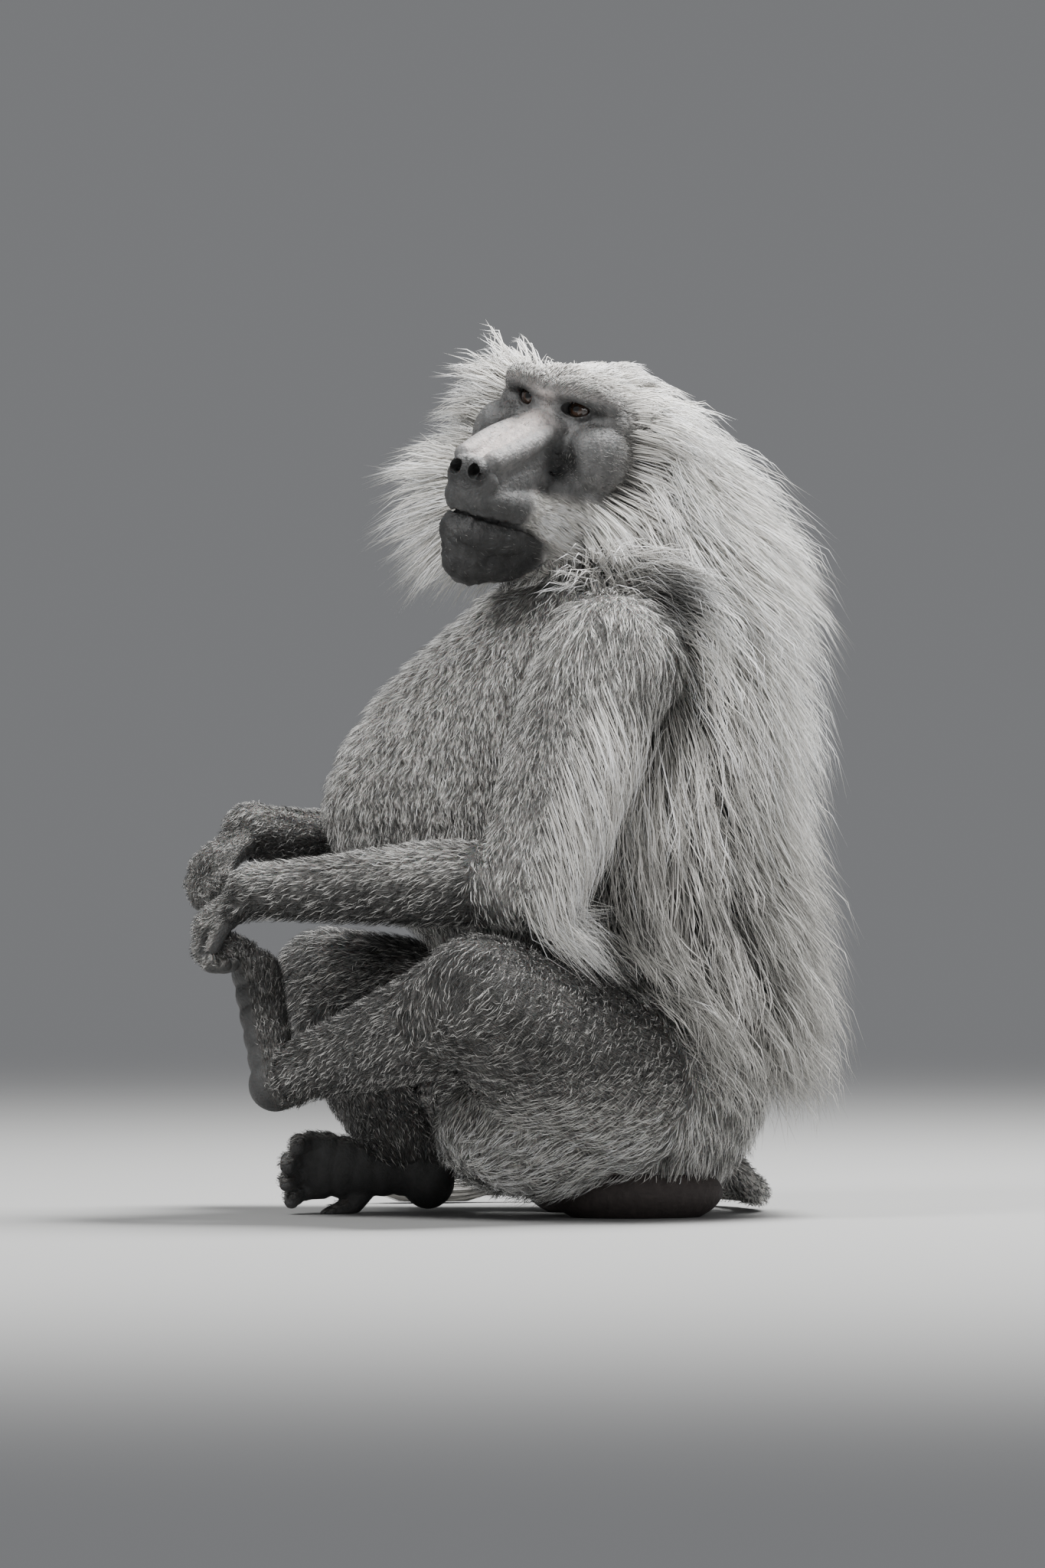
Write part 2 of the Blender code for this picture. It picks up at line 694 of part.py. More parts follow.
tuft_form = bmesh.new()
tuft_root = tail_path()[-1]
tuft_aim = (tail_path()[-1] - tail_path()[-2]).normalized()
tuft_tip = tuft_root + tuft_aim * TUFT_LENGTH + Vector((0.018, 0, 0))
run(tuft_form, [tuft_root - tuft_aim * 0.006, tuft_root.lerp(tuft_tip, 0.45) + Vector((0, 0, 0.002)), tuft_tip],
    [0.012, 0.020, 0.008], detail=3)
tail_tuft = fuse("tail_tuft", tuft_form, 0.004, 5, 160, MANE_HAIR)


def pad_form(side):
    """A bare sitting pad under the ischium."""
    form = bmesh.new()
    ball(form, Vector((0.056 * side, 0.072, 0.020)), (0.048, 0.072, 0.030), detail=3)
    return form


pad_left = fuse("pad_left", pad_form(1), 0.004, 3, 110, BARE_PAD)
pad_right = fuse("pad_right", pad_form(-1), 0.004, 3, 110, BARE_PAD)

torso = fuse("torso", trunk_form(), 0.008, 14, 520, BODY_COAT)
trim(torso, THROAT_POINT, -THROAT_NORMAL)

# Everything that touches the floor is cut flat at one level, the torso's hair a little above it
for body in (tail, tail_tuft, pad_left, pad_right, foot_right):
    on_floor(body)
on_floor(torso, 0.003)
on_floor(thigh_left, 0.004)
on_floor(thigh_right, 0.004)

# Each node is cut clear of those that are set into it
make_room(forearm_left, upper_arm_left)
make_room(forearm_right, upper_arm_right)
make_room(hand_left, forearm_left)
make_room(hand_right, forearm_right)
make_room(hand_left, hand_right)
make_room(shank_left, thigh_left)
make_room(shank_right, thigh_right)
make_room(foot_left, shank_left)
make_room(foot_right, shank_right)
make_room(tail_tuft, tail)
make_room(thigh_left, pad_left)
make_room(thigh_right, pad_right)
make_room(foot_left, hand_left)
make_room(thigh_right, foot_right)
make_room(upper_arm_left, head)
make_room(upper_arm_right, head)
make_room(neck, upper_arm_left, upper_arm_right)
make_room(torso, head, neck)
make_room(torso, upper_arm_left, upper_arm_right, forearm_left, forearm_right)
make_room(torso, thigh_left, thigh_right, pad_left, pad_right, tail)

# Locks of the long coat: (share of the length, share of the width, thickness) at each station
LOCK_STATIONS = ((0.0, 0.70, 0.0070), (0.28, 1.0, 0.0062), (0.58, 0.84, 0.0050), (0.84, 0.46, 0.0034))
LOCK_SINK = 0.010
LOWEST_TIP = 0.008

# Tries for a lock that would cross another node: how much higher it lies and how much of its length is left
LOCK_TRIES = ((1.0, 1.0), (1.35, 1.0), (1.7, 0.95), (1.35, 0.75), (1.2, 0.6), (1.0, 0.45))


def smooth(t):
    t = min(max(t, 0.0), 1.0)
    return t * t * (3 - 2 * t)


def jitter(amount):
    return amount * (2 * dice.random() - 1)


def tree_of(body):
    return BVHTree.FromObject(body, bpy.context.evaluated_depsgraph_get())


def nearest(surfaces, point):
    """The nearest place on any of the surfaces, and its normal."""
    found = [tree.find_nearest(point) for tree in surfaces]
    return min(found, key=lambda hit: hit[3])[:2]


def lock(surfaces, root, normal, flow, length, width, rise, cling):
    """One flat tapered lock. It starts under the skin, bends over the surfaces and lies along the flow.

    rise is its height over them at the tip, cling how closely it follows them.
    """
    form = bmesh.new()
    rows = []
    place = root.copy()
    up = normal
    heading = (flow - up * flow.dot(up)).normalized()
    before = 0.0
    for share, broad, thick in LOCK_STATIONS + ((1.0, 0.0, 0.0),):
        place = place + heading * length * (share - before)
        near, near_normal = nearest(surfaces, place)
        up = up.lerp(near_normal, cling).normalized()
        place = place.lerp(near, cling)
        heading = heading.lerp(flow.normalized(), 0.3)
        heading = (heading - up * heading.dot(up)).normalized()
        point = place + up * (-LOCK_SINK + (LOCK_SINK + rise) * smooth(share * 1.7))
        before = share
        if not broad:
            rows.append([form.verts.new(point)])
            continue
        across = heading.cross(up).normalized() * 0.5 * width * broad
        rows.append([form.verts.new(point + side) for side in (across, up * thick, -across)])
    for first, second in zip(rows, rows[1:]):
        for i in range(3):
            j = (i + 1) % 3
            if len(second) == 3:
                form.faces.new((first[i], first[j], second[j], second[i]))
            else:
                form.faces.new((first[i], first[j], second[0]))
    form.faces.new(rows[0])
    bmesh.ops.triangulate(form, faces=form.faces)
    bmesh.ops.recalc_face_normals(form, faces=form.faces)
    return form


def room_of(form):
    """A tree of a lock a little larger than it, to keep it clear of other nodes."""
    form.normal_update()
    form.verts.index_update()
    points = [v.co + v.normal * 2.5 * GAP for v in form.verts]
    return BVHTree.FromPolygons(points, [[v.index for v in f.verts] for f in form.faces])


def grow(body, others, seeds):
    """Fuses a lock to a body at each seed, bent higher or made shorter where it would cross another node."""
    walls = [tree_of(other) for other in others]
    surfaces = [tree_of(body)] + walls
    locks = []
    for root, normal, flow, length, width, rise, cling in seeds:
        for lift, share in LOCK_TRIES:
            form = lock(surfaces, root, normal, flow, length * share, width, rise * lift, cling)
            low = min(v.co.z for v in form.verts)
            room = room_of(form)
            if low > LOWEST_TIP and not any(room.overlap(wall) for wall in walls):
                locks.append(cutter("lock", form))
                break
            form.free()
    return boolean(body, locks, "UNION")


# Rows of locks round the face: the distance of their roots from its middle, how many, how long
RUFF_ROWS = ((0.080, 10, 0.094), (0.102, 10, 0.082))
RUFF_LOCK_WIDTH = 0.030

# Rows of locks over the crown: how far behind the eyes, how many, how long
CROWN_ROWS = ((-0.030, 4, 0.052), (-0.060, 5, 0.058))
CROWN_LOCK_WIDTH = 0.028


def ruff_seeds():
    """Locks round the face: from its edge outwards over the cheeks, and back over the crown."""
    skin = tree_of(head)
    seeds = []
    forward = HEAD_AXES @ Vector((1, 0, 0))
    down = HEAD_AXES @ Vector((0, 0, -1))
    for row, (radius, count, length) in enumerate(RUFF_ROWS):
        for side in (-1, 1):
            for i in range(count):
                turn = math.radians(40 + 134 * (i + 0.5 * row + 0.25) / count + jitter(2))
                out = HEAD_AXES @ Vector((0, math.sin(turn) * side, math.cos(turn)))
                start = at_head(0.12, 0, -0.070) + out * (radius + jitter(0.003))
                hit, normal, _, far = skin.ray_cast(start, -forward)
                if hit is None or far > 0.23:
                    continue
                high = max(0, math.cos(turn))
                flow = out - forward * (0.08 + 0.22 * row + 0.5 * high) + down * 0.22
                reach = length * (1 - 0.3 * high) * (1 + jitter(0.08))
                seeds.append((hit, normal, flow, reach, RUFF_LOCK_WIDTH, 0.010 + 0.008 * row, 0.25))
    for back, count, reach in CROWN_ROWS:
        for i in range(count):
            across = 2 * i / (count - 1) - 1
            start = at_head(back, 0.050 * across, 0.15)
            hit, normal, _, _ = skin.ray_cast(start, down)
            flow = HEAD_AXES @ Vector((-1, 0.8 * across, 0))
            seeds.append((hit, normal, flow, reach * (1 + jitter(0.08)), CROWN_LOCK_WIDTH, 0.0035, 0.85))
    return seeds


def ring_seeds(body, middle, rows, length, width, rise, cling):
    """Locks on rings round an upright line. A row is its height, its angles from the back, +Y, and a count."""
    skin = tree_of(body)
    others = [tree_of(other) for other in scene.objects if other is not body]
    seeds = []
    for height, low, high, count in rows:
        for i in range(count):
            turn = math.radians(low + (high - low) * (i + 0.5) / count + jitter(3))
            out = Vector((math.sin(turn), math.cos(turn), 0))
            start = Vector((*middle, height + jitter(0.008))) + out * 0.5
            hit, normal, _, far = skin.ray_cast(start, -out)
            if hit is None:
                continue
            if any((other.ray_cast(start, -out)[3] or far) < far for other in others):
                continue
            seeds.append((hit, normal, Vector((0, 0, -1)), length * (1 + jitter(0.10)), width, rise, cling))
    return seeds


# Rows of locks down an upper arm: the share of its length, the angles they span from the outside, how many,
# how long
FRINGE_ROWS = ((0.02, 0, 75, 3, 0.115), (0.34, -15, 85, 4, 0.120), (0.66, -10, 85, 3, 0.115))
FRINGE_LOCK_WIDTH = 0.032


def fringe_seeds(body, joints, side):
    """Long hair that hangs from the back and outside of an upper arm past the elbow."""
    skin = tree_of(body)
    shoulder, elbow = joints["shoulder"], joints["elbow"]
    seeds = []
    for share, first, last, count, length in FRINGE_ROWS:
        for i in range(count):
            turn = math.radians(first + (last - first) * (i + 0.5) / count)
            out = Vector((math.cos(turn) * side, math.sin(turn), 0))
            start = shoulder.lerp(elbow, share) + out * 0.3
            hit, normal, _, _ = skin.ray_cast(start, -out)
            if hit is None:
                continue
            flow = Vector((0.10 * side, 0.15, -1))
            seeds.append((hit, normal, flow, length * (1 + jitter(0.1)), FRINGE_LOCK_WIDTH, 0.012, 0.45))
    return seeds


TUFT_LOCKS = 6
TUFT_LOCK_LENGTH = 0.062
TUFT_LOCK_WIDTH = 0.018


def tuft_seeds():
    """The tuft at the tail's end: locks round it that lie along it."""
    skin = tree_of(tail_tuft)
    seeds = []
    for i in range(TUFT_LOCKS):
        turn = math.radians(18 + 144 * (i % 3) / 2)
        out = Vector((math.cos(turn), 0, math.sin(turn)))
        start = tuft_root.lerp(tuft_tip, 0.25 + 0.25 * (i // 3)) + out * 0.1
        hit, normal, _, _ = skin.ray_cast(start, -out)
        seeds.append((hit, normal, tuft_tip - tuft_root, TUFT_LOCK_LENGTH, TUFT_LOCK_WIDTH, 0.004, 0.7))
    return seeds


grow(head, [neck, torso, ear_left, ear_right, upper_arm_left, upper_arm_right], ruff_seeds())

NECK_ROWS = ((0.650, -50, 75, 4), (0.618, -75, 90, 6), (0.580, -85, 95, 8), (0.540, -95, 100, 9), (0.496, -95, 100, 9))
neck_seeds = ring_seeds(neck, (0, 0.085), NECK_ROWS, length=0.118, width=0.037, rise=0.0220, cling=0.82)
grow(neck, [head, torso, upper_arm_left, upper_arm_right], neck_seeds)

grow(upper_arm_left, [head, neck, torso, forearm_left, thigh_left], fringe_seeds(upper_arm_left, LEFT_ARM, 1))
grow(upper_arm_right, [head, neck, torso, forearm_right, thigh_right], fringe_seeds(upper_arm_right, RIGHT_ARM, -1))

CAPE_ROWS = ((0.462, -70, 70, 7), (0.400, -80, 80, 9), (0.325, -90, 90, 10), (0.260, -95, 95, 11), (0.195, -95, 95, 11))
cape_seeds = ring_seeds(torso, (0, 0.09), CAPE_ROWS, length=0.138, width=0.042, rise=0.024, cling=0.9)
grow(torso, [neck, upper_arm_left, upper_arm_right, forearm_left, forearm_right, thigh_left, thigh_right,
             tail, pad_left, pad_right, head], cape_seeds)
grow(tail_tuft, [tail], tuft_seeds())

LOOKS = {
    "head": FACE_SKIN,
    "neck": MANE_HAIR,
    "tail_tuft": MANE_HAIR,
    "hand_left": HAND_SKIN,
    "hand_right": HAND_SKIN,
    "foot_left": HAND_SKIN,
    "foot_right": HAND_SKIN,
    "pad_left": BARE_PAD,
    "pad_right": BARE_PAD,
    "eye_left": EYE_GLOSS,
    "eye_right": EYE_GLOSS,
    "ear_left": FACE_SKIN,
    "ear_right": FACE_SKIN,
}
for body in scene.objects:
    body.data.materials.clear()
    body.data.materials.append(LOOKS.get(body.name, BODY_COAT))

# The origin goes to the middle of the whole box, at floor level
bpy.context.view_layer.update()
corners = np.array([v.co[:] for body in scene.objects for v in body.data.vertices])
middle = 0.5 * (corners.min(axis=0) + corners.max(axis=0))
for body in scene.objects:
    body.data.transform(Matrix.Translation((-middle[0], -middle[1], 0.0)))
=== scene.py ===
"""Looks of a sitting male hamadryas baboon, life size: skin, eyes, short coat, cape, ruff and tail tuft."""
import math

import bmesh
import bpy
import numpy as np
from mathutils import Matrix, Vector
from mathutils.bvhtree import BVHTree
from mathutils.kdtree import KDTree


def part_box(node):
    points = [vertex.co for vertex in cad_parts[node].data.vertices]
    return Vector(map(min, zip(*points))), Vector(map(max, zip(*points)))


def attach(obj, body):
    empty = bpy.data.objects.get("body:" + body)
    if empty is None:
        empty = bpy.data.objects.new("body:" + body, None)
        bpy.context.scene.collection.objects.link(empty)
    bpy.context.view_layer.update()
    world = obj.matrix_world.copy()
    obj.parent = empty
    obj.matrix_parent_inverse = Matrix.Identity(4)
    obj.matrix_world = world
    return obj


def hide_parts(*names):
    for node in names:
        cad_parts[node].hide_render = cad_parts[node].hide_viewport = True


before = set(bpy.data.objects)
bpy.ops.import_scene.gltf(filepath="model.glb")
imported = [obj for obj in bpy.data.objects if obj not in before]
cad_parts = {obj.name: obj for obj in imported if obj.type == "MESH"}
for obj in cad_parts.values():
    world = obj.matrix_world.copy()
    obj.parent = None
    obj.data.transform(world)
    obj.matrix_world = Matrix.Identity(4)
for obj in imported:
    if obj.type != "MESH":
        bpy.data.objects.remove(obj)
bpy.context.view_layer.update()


# Skin: one hide over skull, trunk, limbs, paws and tail, grey-brown and bare only on face, palms and pads.
# The muscles and bones under it are rounded forms along each limb, drawn over with one smooth surface,
# and it lies inside the coat by the depth of the hair that grows from it.

COAT_DEPTH = 0.008

# The head is turned to its left, its muzzle lifted, its left side lower
EYES_MIDDLE = Vector((0.050, 0.005, 0.658))
EYE_SPACING = 0.048
EYE_RADIUS = 0.0115
EYE_BACK = -0.009


def turned_frame(yaw, pitch, roll):
    """Axes (forward, left, up) of a head that faces -Y before it is turned."""
    facing = Matrix(((0, 1, 0), (-1, 0, 0), (0, 0, 1)))
    lean = Matrix.Rotation(-pitch, 3, "Y") @ Matrix.Rotation(-roll, 3, "X")
    return Matrix.Rotation(yaw, 3, "Z") @ facing @ lean


HEAD_AXES = turned_frame(math.radians(46), math.radians(5), math.radians(13))


def at_head(forward, left, up):
    """A point given from midway between the eyes, along the head's own axes."""
    return EYES_MIDDLE + HEAD_AXES @ Vector((forward, left, up))


def joint_places(**places):
    """Joints by name, as vectors."""
    return {name: Vector(place) for name, place in places.items()}


JOINTS = {
    "left": joint_places(
        shoulder=(0.120, 0.040, 0.450), elbow=(0.168, -0.040, 0.272), wrist=(0.070, -0.242, 0.265),
        hip=(0.085, 0.045, 0.110), knee=(0.205, -0.085, 0.186), ankle=(0.052, -0.190, 0.124),
        heel=(0.038, -0.220, 0.108), toes=(0.011, -0.231, 0.199),
    ),
    "right": joint_places(
        shoulder=(-0.120, 0.035, 0.450), elbow=(-0.165, -0.060, 0.275), wrist=(-0.022, -0.230, 0.311),
        hip=(-0.085, 0.045, 0.110), knee=(-0.185, -0.140, 0.182), ankle=(-0.052, -0.108, 0.058),
        heel=(-0.040, -0.082, 0.0265), toes=(-0.044, -0.170, 0.036),
    ),
}

# The solids stand with their box in the middle: how far that moved them from these positions
eye_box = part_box("eye_left")
SHIFT = 0.5 * (eye_box[0] + eye_box[1]) - at_head(EYE_BACK, 0.5 * EYE_SPACING, 0)
SHIFT.z = 0.0


def unit_ball(detail):
    """A ball of radius 1, of which every rounded form is a stretched copy."""
    form = bmesh.new()
    bmesh.ops.create_icosphere(form, subdivisions=detail, radius=1.0)
    mesh = bpy.data.meshes.new("unit_ball")
    form.to_mesh(mesh)
    form.free()
    return mesh


UNIT_BALLS = {detail: unit_ball(detail) for detail in (3, 4, 5)}


def ball(form, centre, radii, turn=None, detail=3):
    """Adds an ellipsoid to a bmesh. turn is the matrix of its axes."""
    place = Matrix.Translation(centre)
    if turn:
        place = place @ turn.to_4x4()
    mesh = UNIT_BALLS[detail].copy()
    mesh.transform(place @ Matrix.Diagonal((*radii, 1.0)))
    form.from_mesh(mesh)
    bpy.data.meshes.remove(mesh)


def along(points, share):
    """A point at that share of a smooth curve through the points."""
    spans = len(points) - 1
    at = min(share, 0.9999) * spans
    span = int(at)
    t = at - span
    before = points[max(span - 1, 0)]
    start = points[span]
    end = points[span + 1]
    after = points[min(span + 2, spans)]
    return 0.5 * (
        2 * start
        + (end - before) * t
        + (2 * before - 5 * start + 4 * end - after) * t * t
        + (3 * start - before - 3 * end + after) * t**3
    )


def run(form, points, radii):
    """Adds a row of close balls along a smooth curve."""
    length = sum((b - a).length for a, b in zip(points, points[1:]))
    steps = max(3, int(length / (0.30 * min(radii))))
    sizes = [Vector((r, 0, 0)) for r in radii]
    for step in range(steps + 1):
        radius = along(sizes, step / steps)[0]
        ball(form, along(points, step / steps), (radius, radius, radius))


def settle(body):
    """Makes the body's modifiers final."""
    graph = bpy.context.evaluated_depsgraph_get()
    mesh = bpy.data.meshes.new_from_object(body.evaluated_get(graph))
    body.modifiers.clear()
    body.data = mesh
    return body


def put(name, form):
    """A bmesh as an object of the scene."""
    mesh = bpy.data.meshes.new(name)
    form.to_mesh(mesh)
    form.free()
    made = bpy.data.objects.new(name, mesh)
    bpy.context.scene.collection.objects.link(made)
    return made


def drawn_over(name, form, voxel, smooth, faces):
    """One closed smooth surface over all the forms of a bmesh, with about so many triangles."""
    body = put(name, form)
    remesh = body.modifiers.new("Skin", "REMESH")
    remesh.mode = "VOXEL"
    remesh.voxel_size = voxel
    relax = body.modifiers.new("Relax", "SMOOTH")
    relax.factor = 0.5
    relax.iterations = smooth
    settle(body)
    body.data.calc_loop_triangles()
    count = len(body.data.loop_triangles)
    if count > faces:
        fewer = body.modifiers.new("Fewer", "DECIMATE")
        fewer.ratio = faces / count
        settle(body)
    return body


def joined(body, others, operation):
    """Joins the others to a body, or cuts them from it, and removes them."""
    group = bpy.data.collections.new("operands")
    bpy.context.scene.collection.children.link(group)
    for other in others:
        bpy.context.scene.collection.objects.unlink(other)
        group.objects.link(other)
    step = body.modifiers.new("Join", "BOOLEAN")
    step.operation = operation
    step.operand_type = "COLLECTION"
    step.collection = group
    step.solver = "MANIFOLD"
    settle(body)
    for other in others:
        bpy.data.objects.remove(other, do_unlink=True)
    bpy.data.collections.remove(group)
    return body


# Trunk stations, each with its height, its front and back, and its half width out to the short coat's tips
TRUNK = (
    (0.030, 0.005, 0.152, 0.100),
    (0.080, 0.000, 0.184, 0.125),
    (0.150, -0.040, 0.198, 0.130),
    (0.220, -0.092, 0.194, 0.130),
    (0.290, -0.165, 0.182, 0.128),
    (0.340, -0.181, 0.180, 0.128),
    (0.400, -0.151, 0.185, 0.128),
    (0.450, -0.100, 0.182, 0.122),
    (0.490, -0.052, 0.165, 0.104),
)
TRUNK_STEPS = 26
SPINE_DEPTH = 0.085
TAIL = [
    Vector((0.0, 0.110, 0.062)),
    Vector((0.002, 0.150, 0.046)),
    Vector((-0.006, 0.176, 0.022)),
    Vector((-0.050, 0.190, 0.0155)),
    Vector((-0.120, 0.182, 0.0145)),
    Vector((-0.195, 0.140, 0.0140)),
    Vector((-0.240, 0.065, 0.0135)),
    Vector((-0.245, -0.020, 0.0135)),
]
TAIL_RADII = [0.021, 0.020, 0.0175, 0.0165, 0.0155, 0.0150, 0.0145, 0.0145]


def body_form():
    """Trunk, neck, limbs and tail, each inside its coat."""
    form = bmesh.new()
    stations = [Vector(row[1:]) for row in TRUNK]
    heights = [Vector((row[0], 0, 0)) for row in TRUNK]
    for step in range(TRUNK_STEPS + 1):
        front, back, half = along(stations, step / TRUNK_STEPS)
        height = along(heights, step / TRUNK_STEPS)[0]
        middle = Vector((0, 0.5 * (back + front), height))
        depth = 0.5 * (back - front)
        ball(form, middle, (half - COAT_DEPTH, depth - COAT_DEPTH, 0.030))
        spine = Vector((0, back - SPINE_DEPTH, max(height, 0.06)))
        ball(form, spine, (half - COAT_DEPTH, SPINE_DEPTH - 0.5 * COAT_DEPTH, 0.03))
    skull = at_head(-0.075, 0, -0.02)
    base = Vector((0, 0.085, 0.500))
    run(form, [skull, 0.5 * (skull + base) + Vector((0, 0.01, 0)), base], [0.044, 0.062, 0.085])
    for joint, side in ((JOINTS["left"], 1), (JOINTS["right"], -1)):
        shoulder, elbow, wrist = joint["shoulder"], joint["elbow"], joint["wrist"]
        bulge = shoulder.lerp(elbow, 0.45) + Vector((0.004 * side, -0.006, 0))
        run(form, [shoulder, bulge, elbow], [0.054, 0.045, 0.034])
        belly = elbow.lerp(wrist, 0.3) + Vector((0, 0, 0.002))
        run(form, [elbow, belly, elbow.lerp(wrist, 0.75), wrist], [0.030, 0.033, 0.0245, 0.0205])
    for joint, side in ((JOINTS["left"], 1), (JOINTS["right"], -1)):
        hip, knee, ankle = joint["hip"], joint["knee"], joint["ankle"]
        middle = hip.lerp(knee, 0.5) + Vector((0, -0.012, 0.004))
        run(form, [hip, middle, knee], [0.076, 0.065, 0.045])
        ball(form, hip + Vector((0.006 * side, -0.060, -0.036)), (0.053, 0.079, 0.053))
        calf = knee.lerp(ankle, 0.4) + Vector((0, 0.002, -0.006))
        run(form, [knee, calf, ankle], [0.042, 0.040, 0.0255])
    run(form, TAIL, [r - 0.006 for r in TAIL_RADII])
    return form


def paw_form(form, root, forward, back, palm, toes, curl, thumb):
    """A hand or foot: a flat palm, four bent fingers with knuckles, and a thumb.

    palm is (length, half width, half depth), toes is (length, radius), thumb is (side, length, share of
    the palm's length, radius). curl is how far the fingers bend, in degrees.
    """
    forward = forward.normalized()
    back = (back - forward * back.dot(forward)).normalized()
    thumb_side, thumb_length, thumb_root, thumb_radius = thumb
    across = forward.cross(back) * thumb_side
    length, half, depth = palm
    toe_length, toe_radius = toes
    axes = Matrix((forward, across, back)).transposed()
    for share in (0.0, 0.25, 0.5, 0.75, 1.0):
        wide = half * (0.72 + 0.28 * share)
        ball(form, root + forward * length * share, (0.30 * length, wide, depth), axes)
    knuckles = root + forward * length
    for finger in range(4):
        off = (finger - 1.5) / 1.5
        reach = toe_length * (1.0 - 0.16 * abs(off + 0.15))
        start = knuckles + across * off * (half - toe_radius) - forward * 0.004 * abs(off)
        points = [start]
        for joint, joint_share in enumerate((0.42, 0.33, 0.25), 1):
            bend = math.radians(curl) * (joint - 0.35) / 2.65
            step = forward * math.cos(bend) - back * math.sin(bend)
            points.append(points[-1] + (step + across * 0.10 * off) * reach * joint_share)
        run(form, points, [toe_radius * share for share in (1.02, 0.90, 0.84, 0.72)])
        for knuckle in points[:3]:
            ball(form, knuckle + back * 0.0012, (toe_radius,) * 3)
    base = root + forward * length * thumb_root + across * half * 0.6
    aim = (across * 0.75 + forward * 0.6 - back * 0.35).normalized()
    bent = (across * 0.25 + forward * 0.85 - back * 0.5).normalized()
    middle = base + aim * thumb_length * 0.5
    tip = middle + bent * thumb_length * 0.5
    run(form, [base, middle, tip], [thumb_radius * share for share in (1.10, 0.95, 0.75)])


HANDS = (
    ("left", -1, (-0.62, -0.60, -0.50), (-0.2, -0.7, 0.7), 150),
    ("right", 1, (0.50, -0.72, -0.48), (0.1, -0.5, 0.85), 135),
)
HAND_PALM = (0.048, 0.0265, 0.0138)
HAND_FINGERS = (0.056, 0.0082)
FEET = (
    ("left", (0.024, 0.022, 0.022), (0.025, 0.022), (-0.28, -0.12, 0.95), 0.022, 0.0, (0.45, 0.85, 0.35),
     (0.070, 0.029, 0.019), 60),
    ("right", (0.019, 0.022, 0.023), (0.026, 0.021), (-0.03, -0.99, 0.08), 0.020, 0.006, (-0.85, 0, 0.35),
     (0.068, 0.029, 0.0155), 70),
)
FOOT_FINGERS = (0.046, 0.0086)


def paws_form():
    """Both hands and both feet, each from its wrist or heel."""
    form = bmesh.new()
    for name, side, forward, back, curl in HANDS:
        wrist = JOINTS[name]["wrist"]
        root = wrist + Vector((0, 0, -0.002))
        thumb = (side, 0.034, 0.35, 0.0082)
        paw_form(form, root, Vector(forward), Vector(back), HAND_PALM, HAND_FINGERS, curl, thumb)
        run(form, [wrist, wrist.lerp(JOINTS[name]["elbow"], 0.08)], [0.0215, 0.0205])
    for name, heel_radii, ankle_radii, forward, lead, lift, back, sole, curl in FEET:
        heel = JOINTS[name]["heel"]
        forward = Vector(forward)
        ball(form, heel, heel_radii)
        run(form, [JOINTS[name]["ankle"], heel], ankle_radii)
        root = heel + forward * lead + Vector((0, 0, lift))
        thumb = (1, 0.040, 0.45, 0.0095)
        paw_form(form, root, forward, Vector(back), sole, FOOT_FINGERS, curl, thumb)
    return form


def head_turned(sideways, nodding):
    """The head's axes turned further by these degrees."""
    yaw = Matrix.Rotation(math.radians(sideways), 3, "Z")
    nod = Matrix.Rotation(math.radians(nodding), 3, "Y")
    return HEAD_AXES @ yaw @ nod


def head_ball(form, centre, radii, side=1):
    ball(form, at_head(centre[0], centre[1] * side, centre[2]), radii, HEAD_AXES)


def head_run(form, points, radii, side=1):
    run(form, [at_head(ahead, left * side, high) for ahead, left, high in points], radii)


